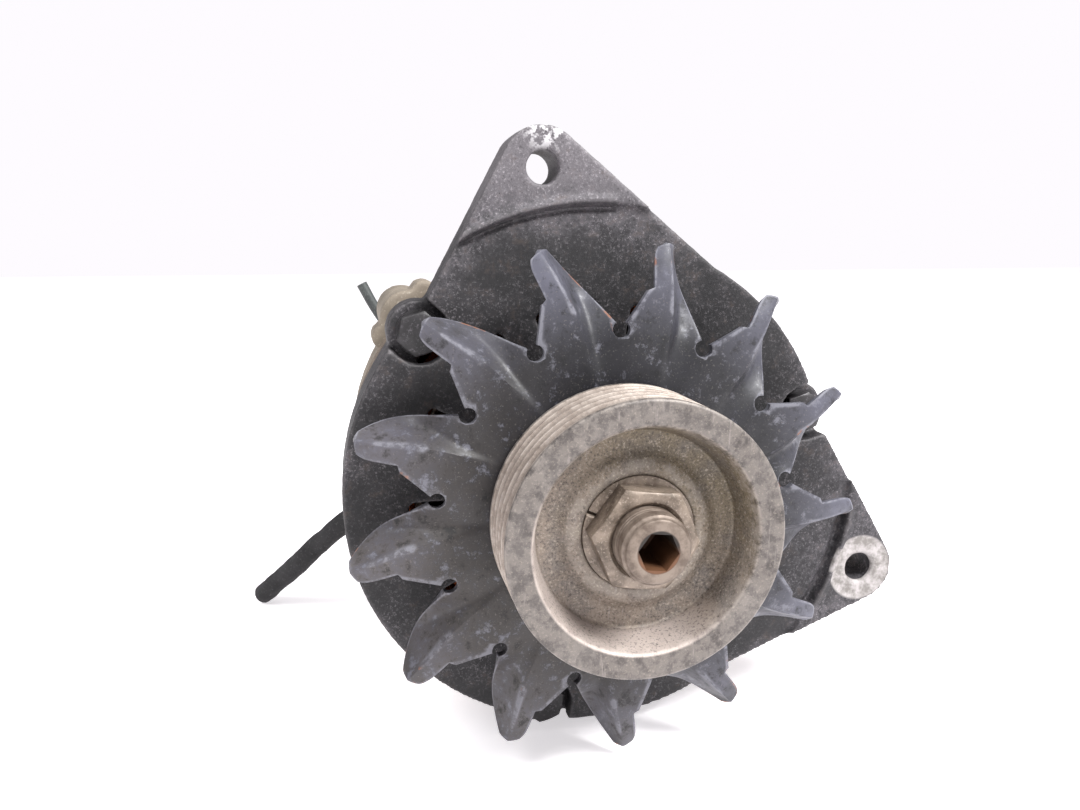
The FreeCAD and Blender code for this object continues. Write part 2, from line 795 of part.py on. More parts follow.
def slip_ring_end_bracket():
    solids = [turned([
        (0, wall_front), (rear_radius - rear_rim_wall, wall_front),
        (rear_radius - rear_rim_wall, stator_rear), (rear_radius, stator_rear),
        (rear_radius, rear_face - rear_edge_chamfer),
        (rear_radius - rear_edge_chamfer, rear_face), (0, rear_face),
    ])]
    solids.append(rod(rear_hub_radius, rear_bearing_front - 1.0, rear_face))
    cavity = winding_radius + cavity_clearance
    for angle in bolt_angles:
        place = polar(bolt_circle, angle)
        boss = rod(rear_boss_radius, stator_rear, rear_face - rear_boss_gap, place.x, place.z)
        solids.append(boss.cut(rod(cavity, stator_rear, wall_front)))
        for side in (-rear_rib_spread, rear_rib_spread):
            place = polar(rear_rib_circle, angle + side)
            end = stator_rear + rear_rib_length
            solids.append(rod(rear_rib_radius, stator_rear, end, place.x, place.z))
    body = fused(solids)
    tools = [rod(rear_bearing["outer"], rear_bearing_front - 2.0, rear_bearing_rear)]
    window = block(rear_vent_inner, rear_vent_outer, wall_front - 1, rear_face + 1,
                   -rear_vent_width / 2, rear_vent_width / 2)
    for angle in spaced(rear_vents, 90.0):
        if vent_is_clear(angle):
            tools.append(spun(window, angle))
    for angle in bolt_angles:
        place = polar(bolt_circle, angle)
        tools.append(rod(bolt_radius, stator_rear, rear_face, place.x, place.z))
    neck = regulator_neck()
    tools.append(block(neck[0] - neck_clearance, neck[1] + neck_clearance,
                       wall_front - 1, rear_face + 1,
                       neck[2] - neck_clearance, neck[3] + neck_clearance))
    for x, z in (charge_terminal, lamp_terminal):
        tools.append(rod(bush_radius, wall_front, rear_face, x, z))
    tools += regulator_screw_shanks()
    tools += capacitor_screw_shank()
    tools += sink_screw_shanks()
    return cut_all(body, tools)


# ---------------------------------------------------------------- through-bolts
def through_bolts():
    bolts = []
    for angle in bolt_angles:
        x, _, z = polar(bolt_circle, angle)
        head_rear = bolt_seat_face - bolt_washer_height
        head = hexagon(bolt_head_flats, head_rear - bolt_head_height, head_rear, angle, x, z)
        shank = rod(bolt_radius, head_rear, rear_face - bolt_grip, x, z)
        bolts.append(head.fuse(shank))
    return bolts


def through_bolt_washers():
    washers = []
    for angle in bolt_angles:
        place = polar(bolt_circle, angle)
        front = bolt_seat_face - bolt_washer_height
        washers.append(ring(bolt_washer_radius, bolt_hole, front, bolt_seat_face, place.x, place.z))
    return washers


# ---------------------------------------------------------------- brushes and regulator
def brush_centres():
    return [y + slip_ring_width / 2 for y in slip_ring_places()]


def brush(centre):
    """Carbon block whose end is worn to the curve of its slip ring."""
    width, depth, height = brush_size
    body = block(-width / 2, width / 2, centre - depth / 2, centre + depth / 2,
                 0, brush_base + height)
    return body.cut(rod(brush_base, centre - depth, centre + depth))


def brush_spring(centre):
    bottom = brush_base + brush_size[2]
    pitch = (holder_top - bottom - 2 * spring_wire) / spring_turns
    helix = Part.makeHelix(pitch, pitch * spring_turns, spring_radius)
    start = V(spring_radius, 0, 0)
    circle = Part.Wire(Part.Edge(Part.Circle(start, V(0, 1, 0), spring_wire)))
    coil = Part.Wire(helix).makePipeShell([circle], True, True)
    return moved(coil, 0, centre, bottom + spring_wire)


def regulator_neck():
    """Extent of the brush holder in x and z: x0, x1, z0, z1."""
    half = brush_size[0] / 2 + hole_clearance + holder_wall
    return (-half, half, holder_bottom + neck_lift, holder_top + holder_wall)


def regulator():
    """Finned electronic module on the rear face with the brush holder moulded to its front."""
    width, depth, height = regulator_size
    x0, x1, z0, z1 = regulator_neck()
    centres = brush_centres()
    half_depth = brush_size[1] / 2 + hole_clearance
    holder = block(x0, x1, centres[0] - half_depth - holder_wall,
                   centres[1] + half_depth + holder_wall, holder_bottom, z1)
    neck = block(x0, x1, centres[1], rear_face, z0, z1)
    top = rear_face + depth
    case = block(-width / 2, width / 2, rear_face, top, regulator_height,
                 regulator_height + height)
    fins = []
    pitch = (width - 2 * fin_margin - fin_width) / (fin_count - 1)
    for i in range(fin_count):
        x = fin_margin - width / 2 + i * pitch
        fins.append(block(x, x + fin_width, top, top + fin_rise, regulator_height + fin_inset,
                          regulator_height + height - fin_inset))
    body = fused([holder, neck, case] + fins)
    slots = []
    for centre in centres:
        half = brush_size[0] / 2 + hole_clearance / 2
        slots.append(block(-half, half, centre - brush_size[1] / 2 - hole_clearance / 2,
                           centre + brush_size[1] / 2 + hole_clearance / 2, 0, holder_top))
    return cut_all(body, slots + regulator_screw_shanks() + regulator_head_wells())


def regulator_screw_places():
    offset = regulator_size[0] / 2 - regulator_screw_inset
    height = regulator_height + regulator_screw_lift
    return [(-offset, height), (offset, height)]


def regulator_screw_shanks():
    top = rear_face + regulator_size[1]
    radius = regulator_screw_radius
    return [rod(radius, wall_front, top, x, z) for x, z in regulator_screw_places()]


def regulator_head_wells():
    top = rear_face + regulator_size[1]
    return [rod(regulator_head_well, top, top + fin_rise + 1, x, z)
            for x, z in regulator_screw_places()]


def regulator_screws():
    screws = []
    seat = rear_face + regulator_size[1]
    top = seat + regulator_head_height
    cross_floor = top - cross_depth
    long = cross_length / 2
    short = cross_width / 2
    for x, z in regulator_screw_places():
        head = rod(regulator_head_radius, seat, top, x, z)
        flat = block(x - long, x + long, cross_floor, top + 1, z - short, z + short)
        upright = block(x - short, x + short, cross_floor, top + 1, z - long, z + long)
        shank = rod(regulator_screw_radius, wall_front, seat, x, z)
        screws.append(shank.fuse(head).cut(flat.fuse(upright)))
    return screws


# ---------------------------------------------------------------- rectifier
def sink_plate(y0, y1):
    """Horseshoe plate, open at the top where the brush holder passes."""
    plate = ring(sink_outer, sink_inner, y0, y1)
    far = 2 * sink_outer
    half = math.radians(sink_open_angle / 2)
    gap = slab([(0, 0), (far * math.sin(half), far * math.cos(half)),
                (-far * math.sin(half), far * math.cos(half))], y0, y1)
    return plate.cut(gap)


def sink_screw_shanks():
    shanks = []
    for angle in sink_post_angles:
        place = polar(sink_post_circle, angle)
        shanks.append(rod(sink_post_radius, sink_front, rear_face, place.x, place.z))
    return shanks


def heat_sink(y0, turn, clear_stud):
    y1 = y0 + sink_thickness
    holes = sink_screw_shanks()
    for angle in diode_angles:
        place = polar(diode_circle, angle + turn)
        holes.append(rod(diode_radius, y0, y1, place.x, place.z))
    stud_hole = charge_stud_radius
    if clear_stud:
        stud_hole += stud_clearance
    holes.append(rod(stud_hole, y0, y1, *charge_terminal))
    holes.append(rod(lamp_stud_radius + stud_clearance, y0, y1, *lamp_terminal))
    return cut_all(sink_plate(y0, y1), holes)


def diodes(y0, turn):
    """Press-fit cans with a wire out of the front."""
    cans = []
    for angle in diode_angles:
        place = polar(diode_circle, angle + turn)
        can = rod(diode_radius, y0, y0 + sink_thickness, place.x, place.z)
        can = can.fuse(rod(diode_wire_radius, y0 - diode_wire_length, y0, place.x, place.z))
        cans.append(can)
    return cans


def heat_sink_spacers():
    """Insulating tubes between the two plates and between the plates and the bracket."""
    tubes = []
    spans = ((sink_front + sink_thickness, positive_face), (sink_rear, wall_front))
    for angle in sink_post_angles:
        x, _, z = polar(sink_post_circle, angle)
        tubes += [ring(sink_post_tube, sink_post_radius, y0, y1, x, z) for y0, y1 in spans]
    return tubes


def heat_sink_screws():
    screws = []
    for angle in sink_post_angles:
        x, _, z = polar(sink_post_circle, angle)
        shank = rod(sink_post_radius, sink_front, rear_face, x, z)
        nut = hexagon(sink_nut_flats, rear_face, rear_face + sink_nut_height, angle, x, z)
        head = rod(sink_head_radius, sink_front - sink_head_height, sink_front, x, z)
        screws.append(fused([shank, nut, head]))
    return screws


# ---------------------------------------------------------------- terminals
def terminal_bush(x, z, stud_radius):
    top = rear_face + bush_height
    body = rod(bush_radius, wall_front, rear_face, x, z)
    body = body.fuse(rod(bush_flange, rear_face, top, x, z))
    return body.cut(rod(stud_radius, wall_front, top, x, z))


def terminal_stud(x, z, radius, nut_size):
    """Stud with a thread relief above its nut and a chamfered free end."""
    top = rear_face + bush_height + stud_reach
    shoulder = top - stud_chamfer
    body = rod(radius, positive_face, shoulder, x, z)
    tip = Part.makeCone(radius, radius - stud_chamfer, stud_chamfer, V(x, shoulder, z), SHAFT_AXIS)
    nut_top = nut_seat + nut_size[1]
    relief = ring(radius + 1, radius - stud_relief_depth, nut_top, nut_top + stud_relief_width, x, z)
    return body.fuse(tip).cut(relief)


def terminal_nut(x, z, size, radius):
    flats, height = size
    y1 = nut_seat + height
    return hexagon(flats, nut_seat, y1, 12, x, z).cut(rod(radius, nut_seat, y1, x, z))


def lead_terminal(x, z, stud_radius, lead_radius, heading, reach):
    """Ring tongue under the nut and a crimped barrel that grips the lead's end."""
    y0 = nut_seat - ring_plate
    eye = 2.1 * stud_radius
    tongue = block(x, x + reach, y0, nut_seat, z - 0.7 * eye, z + 0.7 * eye)
    axis_y = nut_seat + lead_radius
    outward = V(1, 0, 0)
    crimp = V(x + reach - barrel_overlap, axis_y, z)
    barrel = Part.makeCylinder(lead_radius + ring_plate, barrel_length, crimp, outward)
    stop = reach - barrel_overlap + barrel_length - crimp_depth
    lead = Part.makeCylinder(lead_radius, 2 * crimp_depth, V(x + stop, axis_y, z), outward)
    body = fused([rod(eye, y0, nut_seat, x, z), tongue, barrel])
    body = body.cut([rod(stud_radius, y0 - 1, nut_seat + 1, x, z), lead])
    body.rotate(V(x, 0, z), SHAFT_AXIS, -heading)
    turn = math.radians(heading)
    return body, V(x + stop * math.cos(turn), axis_y, z + stop * math.sin(turn))


def lead_route(leaves, run):
    return [leaves] + [V(x, leaves.y + y, z) for x, y, z in run]


def lead_tube(points, radius, name):
    """Straight runs joined by tangent arcs, each as large as its two runs allow."""
    edges = []
    here = points[0]
    for i in range(1, len(points) - 1):
        before = points[i] - points[i - 1]
        after = points[i + 1] - points[i]
        turn = before.getAngle(after)
        shorter = min(before.Length, after.Length)
        bend = 0.45 * shorter / math.tan(turn / 2)
        print(name, "bend", i, "radius", round(bend, 1), "turn", round(math.degrees(turn), 1))
        back = 0.45 * shorter
        into = before / before.Length
        out = after / after.Length
        start = points[i] - into * back
        end = points[i] + out * back
        inward = (out - into) / (out - into).Length
        centre = points[i] + inward * (bend / math.cos(turn / 2))
        middle = centre - inward * bend
        edges.append(Part.LineSegment(here, start).toShape())
        edges.append(Part.Arc(start, middle, end).toShape())
        here = end
    edges.append(Part.LineSegment(here, points[-1]).toShape())
    path = Part.Wire(edges)
    first = points[1] - points[0]
    profile = Part.Wire(Part.Edge(Part.Circle(points[0], first, radius)))
    tube = path.makePipeShell([profile], True, False)
    print(name, "length", round(path.Length, 1), "volume", round(tube.Volume, 1),
          "section times length", round(math.pi * radius ** 2 * path.Length, 1))
    return tube


# ---------------------------------------------------------------- suppression capacitor
def suppression_capacitor():
    x, z = capacitor_place
    along = V(1, 0, 0)
    start = V(x - capacitor_length / 2, capacitor_axis, z)
    can = Part.makeCylinder(capacitor_radius, capacitor_length, start, along)
    cap_start = start - along * capacitor_cap
    cap = Part.makeCylinder(capacitor_radius - capacitor_cap, capacitor_cap, cap_start, along)
    return can.fuse(cap)


def capacitor_clamp():
    x, z = capacitor_place
    half = clamp_width / 2
    along = V(1, 0, 0)
    start = V(x - half, capacitor_axis, z)
    band = Part.makeCylinder(capacitor_radius + clamp_sheet, clamp_width, start, along)
    can = Part.makeCylinder(capacitor_radius, clamp_width, start, along)
    tab = block(x - half, x + half, rear_face, rear_face + clamp_sheet,
                z, z + capacitor_radius + clamp_reach)
    return cut_all(band.fuse(tab), capacitor_screw_shank() + [can])


def capacitor_screw_shank():
    x, z = capacitor_place
    screw_z = z + capacitor_radius + capacitor_screw_offset
    return [rod(capacitor_screw_radius, wall_front, rear_face + clamp_sheet, x, screw_z)]


def capacitor_screw():
    x, z = capacitor_place
    seat = rear_face + clamp_sheet
    screw_z = z + capacitor_radius + capacitor_screw_offset
    head = hexagon(capacitor_screw_flats, seat, seat + capacitor_screw_head, 0, x, screw_z)
    return capacitor_screw_shank()[0].fuse(head)


# ---------------------------------------------------------------- parts on the rotor and the front
front_outer, front_inner, front_balls, front_cage = bearing(front_bearing, seat_radius, bearing_front)
rear_outer, rear_inner, rear_balls, rear_cage = bearing(rear_bearing, rear_seat_radius,
                                                        rear_bearing_front)
front_pole = claw_pole()

save("rotor_shaft", rotor_shaft())
save("front_claw_pole", front_pole)
save("rear_claw_pole", rear_claw_pole(front_pole))
save("coil_bobbin", coil_bobbin())
save("field_coil", field_coil())
save("slip_ring_moulding", slip_ring_moulding())
save("slip_rings", *slip_rings())
save("front_bearing_outer_race", front_outer)
save("front_bearing_inner_race", front_inner)
save("front_bearing_balls", *front_balls)
save("front_bearing_cage", front_cage)
save("front_bearing_shields", *bearing_shields(front_bearing, seat_radius, bearing_front))
save("rear_bearing_outer_race", rear_outer)
save("rear_bearing_inner_race", rear_inner)
save("rear_bearing_balls", *rear_balls)
save("rear_bearing_cage", rear_cage)
save("drive_end_bracket", drive_end_bracket())
save("bearing_retainer_plate", bearing_retainer_plate())
save("retainer_screws", *retainer_screws())
save("stator_core", stator_core())
save("stator_windings", stator_windings())
save("slip_ring_end_bracket", slip_ring_end_bracket())
save("through_bolts", *through_bolts())
save("through_bolt_washers", *through_bolt_washers())

# ---------------------------------------------------------------- rear-end parts
first_brush, second_brush = brush_centres()
save("front_brush", brush(first_brush))
save("rear_brush", brush(second_brush))
save("front_brush_spring", brush_spring(first_brush))
save("rear_brush_spring", brush_spring(second_brush))
save("voltage_regulator", regulator())
save("regulator_screws", *regulator_screws())

save("positive_heat_sink", heat_sink(positive_face, 0, False))
save("negative_heat_sink", heat_sink(sink_front, sink_turn, True))
save("positive_diodes", *diodes(positive_face, 0))
save("negative_diodes", *diodes(sink_front, sink_turn))
save("heat_sink_spacers", *heat_sink_spacers())
save("heat_sink_screws", *heat_sink_screws())

save("charge_terminal_bush", terminal_bush(*charge_terminal, charge_stud_radius))
save("charge_terminal_stud", terminal_stud(*charge_terminal, charge_stud_radius, charge_nut))
save("charge_terminal_nut", terminal_nut(*charge_terminal, charge_nut, charge_stud_radius))
save("lamp_terminal_bush", terminal_bush(*lamp_terminal, lamp_stud_radius))
save("lamp_terminal_stud", terminal_stud(*lamp_terminal, lamp_stud_radius, lamp_nut))
save("lamp_terminal_nut", terminal_nut(*lamp_terminal, lamp_nut, lamp_stud_radius))
charge_eye, charge_exit = lead_terminal(*charge_terminal, charge_stud_radius, charge_lead_radius,
                                        charge_heading, charge_reach)
lamp_eye, lamp_exit = lead_terminal(*lamp_terminal, lamp_stud_radius, lamp_lead_radius,
                                    lamp_heading, lamp_reach)
save("charge_lead_terminal", charge_eye)
save("lamp_lead_terminal", lamp_eye)
charge_route = lead_route(charge_exit, charge_lead_run)
lamp_route = lead_route(lamp_exit, lamp_lead_run)
save("charge_lead", lead_tube(charge_route, charge_lead_radius, "charge_lead"))
save("lamp_lead", lead_tube(lamp_route, lamp_lead_radius, "lamp_lead"))
save("suppression_capacitor", suppression_capacitor())
save("capacitor_clamp", capacitor_clamp())
save("capacitor_screw", capacitor_screw())
print("charge exit", charge_exit, "lamp exit", lamp_exit)
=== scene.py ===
import json
import math
import random

import bpy
from mathutils import Matrix, Vector, noise


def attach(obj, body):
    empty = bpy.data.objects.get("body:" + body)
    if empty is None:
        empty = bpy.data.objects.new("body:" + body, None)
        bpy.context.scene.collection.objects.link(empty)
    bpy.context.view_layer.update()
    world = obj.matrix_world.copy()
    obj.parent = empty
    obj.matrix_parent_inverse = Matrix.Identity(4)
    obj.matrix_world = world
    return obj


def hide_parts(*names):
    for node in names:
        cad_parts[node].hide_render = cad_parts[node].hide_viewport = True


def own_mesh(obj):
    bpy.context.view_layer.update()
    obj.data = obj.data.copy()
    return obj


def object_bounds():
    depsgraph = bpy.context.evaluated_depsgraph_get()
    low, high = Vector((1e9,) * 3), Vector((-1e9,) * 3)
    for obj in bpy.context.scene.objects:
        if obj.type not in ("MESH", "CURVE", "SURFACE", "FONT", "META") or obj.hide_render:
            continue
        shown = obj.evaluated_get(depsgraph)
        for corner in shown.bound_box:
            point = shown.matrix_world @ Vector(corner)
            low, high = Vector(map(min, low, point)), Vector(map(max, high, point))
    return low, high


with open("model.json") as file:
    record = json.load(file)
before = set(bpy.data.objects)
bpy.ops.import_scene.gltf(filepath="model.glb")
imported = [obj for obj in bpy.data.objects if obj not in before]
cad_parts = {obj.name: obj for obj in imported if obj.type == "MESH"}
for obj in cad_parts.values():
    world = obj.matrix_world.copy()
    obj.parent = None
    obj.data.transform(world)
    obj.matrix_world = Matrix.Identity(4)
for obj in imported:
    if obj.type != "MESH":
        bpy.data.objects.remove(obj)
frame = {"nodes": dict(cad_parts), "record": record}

cad_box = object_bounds()

# ------------------------------------------------------------------ floor, light and camera
# A sheet of white paper on a table in soft daylight that comes mainly from above and from the left.
# The paper is bright enough to lose itself in the wall behind, and keeps only a faint shadow.


def paint(code):
    """Linear colour of an sRGB hex value."""
    parts = [int(code[i:i + 2], 16) / 255 for i in (1, 3, 5)]
    return [p / 12.92 if p <= 0.04045 else ((p + 0.055) / 1.055) ** 2.4 for p in parts] + [1.0]


def add(finish, kind, settings=None, links=None):
    """Adds a node, with values for its own settings or sockets and links into its sockets."""
    made = finish.node_tree.nodes.new("ShaderNode" + kind)
    for key, value in (settings or {}).items():
        if isinstance(key, str) and hasattr(made, key):
            setattr(made, key, value)
        else:
            made.inputs[key].default_value = value
    for key, source in (links or {}).items():
        finish.node_tree.links.new(source, made.inputs[key])
    return made


def new_finish(name, roughness, metallic=0.0, **sockets):
    """An empty finish and its shader."""
    finish = bpy.data.materials.new(name)
    finish.use_nodes = True
    shader = finish.node_tree.nodes["Principled BSDF"]
    shader.inputs["Roughness"].default_value = roughness
    shader.inputs["Metallic"].default_value = metallic
    for key, value in sockets.items():
        shader.inputs[key.replace("_", " ")].default_value = value
    return finish, shader


scene = bpy.context.scene
scene.view_settings.view_transform = "Standard"
floor_gap = 0.0002
floor_height = cad_box[0].z - floor_gap
paper_size = 6.0
paper_white, paper_shader = new_finish("white_paper", 0.85)
paper_shader.inputs["Base Color"].default_value = paint("#f4f2f3")
paper_shader.inputs["Specular IOR Level"].default_value = 0.1
# The sheet gives off a little light of its own, so the floor stays white up to the object.
paper_shader.inputs["Emission Color"].default_value = paint("#fdfafd")
paper_shader.inputs["Emission Strength"].default_value = 0.55

bpy.ops.object.select_all(action="DESELECT")
bpy.ops.mesh.primitive_plane_add(size=paper_size, location=(0, 0, floor_height))
paper = bpy.context.object
paper.name = "paper_floor"
paper.data.materials.append(paper_white)

room = bpy.data.worlds.new("daylight_room")
room.use_nodes = True
backdrop = room.node_tree.nodes["Background"]
backdrop.inputs["Color"].default_value = paint("#fefbff")
# The wall itself is white, but it lights the object less than the lamps do.
sight = add(room, "LightPath")
strength = add(room, "MapRange", {3: 0.55, 4: 1.0}, {0: sight.outputs["Is Camera Ray"]})
room.node_tree.links.new(strength.outputs[0], backdrop.inputs["Strength"])
scene.world = room

# Each lamp faces the object's middle: name, place, size in metres, power in watts.
middle_of_object = Vector((0.0, 0.05, 0.0))
lamps = [
    ("window_above", (0.62, -0.55, 1.0), 0.45, 37.0),
    ("window_left", (-0.7, -0.35, 1.0), 0.5, 10.0),
]
for name, place, size, power in lamps:
    bpy.ops.object.light_add(type="AREA", location=place)
    lamp = bpy.context.object
    lamp.name = name
    lamp.data.size = size
    lamp.data.energy = power
    towards = middle_of_object - Vector(place)
    lamp.rotation_euler = towards.to_track_quat("-Z", "Y").to_euler()

# The camera stands in front, a little to the left and above, and looks 11 degrees down.
camera_down, camera_turn = 10.92, -12.29
bpy.ops.object.camera_add(
    location=(-0.06207, -0.18286, 0.06576),
    rotation=(math.radians(90 - camera_down), 0, math.radians(camera_turn)),
)
camera = bpy.context.object
camera.data.sensor_width = 36.0
camera.data.lens = 29.33
camera.data.clip_start = 0.01
scene.camera = camera

# ------------------------------------------------------------------ cut-off leads
# The battery cable in its black woven-look sleeve and the thin rubber lamp wire.
# Both were cut off short, so they end bare, and both are matt and dusty.
mm = 0.001


def ramp(finish, source, start, end, low=0.0, high=1.0):
    """Goes from low to high while its source goes from start to end."""
    return add(finish, "MapRange", {1: start, 2: end, 3: low, 4: high}, {0: source}).outputs[0]


def noise_at(finish, place, scale, detail, roughness):
    """Cloudy noise, with scale as the number of its cells in a metre."""
    settings = {"Scale": scale, "Detail": detail, "Roughness": roughness}
    return add(finish, "TexNoise", settings, {"Vector": place}).outputs[0]


def blend(finish, share, below, above):
    """Lays a share of one colour over another. Each is a hex value or a node's output."""
    made = add(finish, "Mix", {"data_type": "RGBA"}, {0: share})
    for socket, colour in ((6, below), (7, above)):
        if isinstance(colour, str):
            made.inputs[socket].default_value = paint(colour)
        else:
            finish.node_tree.links.new(colour, made.inputs[socket])
    return made.outputs[2]


def worn_finish(name, colour, shade, worn, roughness, metallic, grain, patch=9.0, **sockets):
    """Aged surface: patches of a darker shade, fine specks of a worn colour and a grainy bump.

    grain and patch are sizes in millimetres."""
    finish, shader = new_finish(name, roughness, metallic, **sockets)
    place = add(finish, "TexCoord").outputs["Object"]
    cloud = noise_at(finish, place, 1000 / patch, 5.0, 0.6)
    patches = ramp(finish, cloud, 0.38, 0.62)
    fine = noise_at(finish, place, 1000 / grain, 3.0, 0.7)
    specks = ramp(finish, fine, 0.56, 0.72, high=0.8)
    base = blend(finish, patches, colour, shade)
    top = blend(finish, specks, base, worn)
    gloss = ramp(finish, cloud, 0.0, 1.0, roughness - 0.1, roughness + 0.12)
    bump = add(finish, "Bump", {"Strength": 0.5, "Distance": 0.06 * mm * grain},
               {"Height": fine})
    finish.node_tree.links.new(top, shader.inputs["Base Color"])
    finish.node_tree.links.new(gloss, shader.inputs["Roughness"])
    finish.node_tree.links.new(bump.outputs[0], shader.inputs["Normal"])
    return finish


def pick(piece):
    """Makes a piece the only one selected."""
    bpy.ops.object.select_all(action="DESELECT")
    piece.select_set(True)
    bpy.context.view_layer.objects.active = piece


def join_points(piece, gap):
    """Merges the points that are closer together than a gap in metres."""
    pick(piece)
    bpy.ops.object.mode_set(mode="EDIT")
    bpy.ops.mesh.select_all(action="SELECT")
    bpy.ops.mesh.remove_doubles(threshold=gap)
    bpy.ops.object.mode_set(mode="OBJECT")


def face_outward(piece):
    """Turns every face to the outside."""
    pick(piece)
    bpy.ops.object.mode_set(mode="EDIT")
    bpy.ops.mesh.select_all(action="SELECT")
    bpy.ops.mesh.normals_make_consistent(inside=False)
    bpy.ops.object.mode_set(mode="OBJECT")


same_point = 1e-6
skin_grain = 220


def lay_lead(name, route, radius, wobble):
    """Round lead on one smooth spline through its route, with a slightly uneven skin."""
    line = bpy.data.curves.new(name + "_line", "CURVE")
    line.dimensions = "3D"
    line.resolution_u = 16
    spline = line.splines.new("NURBS")
    spline.points.add(len(route) - 1)
    for point, place in zip(spline.points, route):
        point.co = (*place, 1.0)
    spline.order_u = 3
    spline.use_endpoint_u = True
    guide = bpy.data.objects.new(name + "_guide", line)
    scene.collection.objects.link(guide)
    bpy.context.view_layer.update()
    bare = bpy.data.meshes.new_from_object(guide)
    path = [vertex.co.copy() for vertex in bare.vertices]
    line.bevel_depth = radius
    line.bevel_resolution = 6
    line.use_fill_caps = True
    bpy.context.view_layer.update()
    skin = bpy.data.meshes.new_from_object(guide)
    bpy.data.objects.remove(guide)
    lead = bpy.data.objects.new(name, skin)
    scene.collection.objects.link(lead)
    join_points(lead, same_point)
    face_outward(lead)
    for vertex in skin.vertices:
        nearest = min(path, key=lambda point: (point - vertex.co).length)
        outward = (vertex.co - nearest).normalized()
        vertex.co += outward * wobble * noise.noise(vertex.co * skin_grain)
    bpy.ops.object.shade_smooth_by_angle(angle=math.radians(50))
    return lead, path


black_sleeve = worn_finish("black_sleeve_rubber", "#222123", "#151416", "#3f3d3f", 0.75, 0.0, 0.9)
grey_rubber = worn_finish("grey_green_rubber", "#3d4140", "#2c2f2f", "#575c5b", 0.6, 0.0, 0.8)

charge_route = [
    (-0.0490, 0.1199, -0.0214), (-0.0632, 0.1189, -0.0302), (-0.0755, 0.1228, -0.0412),
    (-0.0866, 0.1303, -0.0539), (-0.0970, 0.1400, -0.0652),
]
charge_lead, charge_path = lay_lead("charge_lead_sleeve", charge_route, 3.6 * mm, 0.35 * mm)
charge_lead.data.materials.append(black_sleeve)
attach(charge_lead, "housing")
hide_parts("charge_lead")

lamp_route = [
    (-0.03751, 0.11795, 0.02446), (-0.0436, 0.11795, 0.0296), (-0.0490, 0.1170, 0.0356),
    (-0.0534, 0.1180, 0.0420), (-0.0572, 0.1192, 0.0498),
]
lamp_lead, lamp_path = lay_lead("lamp_lead_rubber", lamp_route, 1.72 * mm, 0.08 * mm)
lamp_lead.data.materials.append(grey_rubber)
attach(lamp_lead, "housing")
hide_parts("lamp_lead")

# ------------------------------------------------------------------ pulley
# Five-rib pulley turned from one steel forging, with a deep cup in front for the nut.
# It is dull and brown-grey from rust film and road dust, and rubbed pale on its crests and edges. Painted
# highlight lies on the crests and the cup's lower-left wall, and painted shade in the rib roots and
# towards the cup's upper right.


def turn_on_lathe(name, outline, steps=160, angle=2 * math.pi):
    """Draws a closed section from (radius, y) points in mm and spins it round the shaft."""
    bpy.ops.object.select_all(action="DESELECT")
    bpy.ops.mesh.primitive_plane_add(size=mm, location=(0, 0, 0))
    piece = bpy.context.object
    piece.name = name
    bpy.ops.object.mode_set(mode="EDIT")
    bpy.ops.mesh.merge(type="CENTER")
    bpy.ops.transform.translate(value=(outline[0][0] * mm, outline[0][1] * mm, 0))
    here = outline[0]
    for point in outline[1:] + outline[:1]:
        step = ((point[0] - here[0]) * mm, (point[1] - here[1]) * mm, 0)
        bpy.ops.mesh.extrude_region_move(TRANSFORM_OT_translate={"value": step})
        here = point
    bpy.ops.mesh.select_all(action="SELECT")
    bpy.ops.mesh.remove_doubles(threshold=same_point)
    bpy.ops.mesh.spin(steps=steps, angle=angle, center=(0, 0, 0), axis=(0, 1, 0))
    bpy.ops.object.mode_set(mode="OBJECT")
    join_points(piece, same_point)
    face_outward(piece)
    return piece


def shape(piece, kind, **settings):
    """Adds a modifier and applies it at once."""
    pick(piece)
    modifier = piece.modifiers.new(kind.lower(), kind)
    for key, value in settings.items():
        setattr(modifier, key, value)
    bpy.ops.object.modifier_apply(modifier=modifier.name)


def round_edges(piece, width, segments=2, angle=30):
    """Breaks the sharp edges by a width in mm and smooths the rest."""
    shape(piece, "BEVEL", width=width * mm, segments=segments, limit_method="ANGLE",
          angle_limit=math.radians(angle))
    pick(piece)
    bpy.ops.object.shade_smooth_by_angle(angle=math.radians(32))


def cut(piece, tool, operation="DIFFERENCE"):
    """Boolean with a tool, which is then thrown away."""
    shape(piece, "BOOLEAN", object=tool, operation=operation, solver="EXACT")
    bpy.data.objects.remove(tool)


def fit(piece, body, slot, finish, *nodes):
    """Gives a finished piece its finish, its body and the CAD nodes that it stands for."""
    piece.data.materials.clear()
    piece.data.materials.append(finish)
    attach(piece, body)
    if nodes:
        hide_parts(*nodes)


pulley_outline = [
    (8.5, -0.3), (13.28, -0.3), (13.28, -2.25), (13.7, -2.5), (15.2, -2.5), (16.6, -2.2),
    (18.0, -1.4), (19.0, -1.05), (19.8, -1.0), (23.1, -1.0), (23.6, -1.3), (23.8, -1.9),
    (25.7, -9.6), (26.1, -10.2), (26.6, -10.5), (31.4, -10.5), (31.9, -10.2), (32.0, -9.8),
]
rib_root, rib_top, rib_pitch = 29.4, 32.0, 3.56
mouth_half, root_half = 1.43, 0.48
for groove in range(5):
    middle = (groove - 2) * rib_pitch
    pulley_outline += [(rib_top, middle - mouth_half), (rib_root, middle - root_half)]
    pulley_outline += [(rib_root, middle + root_half), (rib_top, middle + mouth_half)]
pulley_outline += [(32.0, 10.2), (31.7, 10.5), (26.4, 10.5), (25.4, 3.2), (17.0, 3.2), (17.0, 12.4),
                   (8.5, 12.4)]
pulley = turn_on_lathe("pulley_turned", pulley_outline, 192)
round_edges(pulley, 0.16)


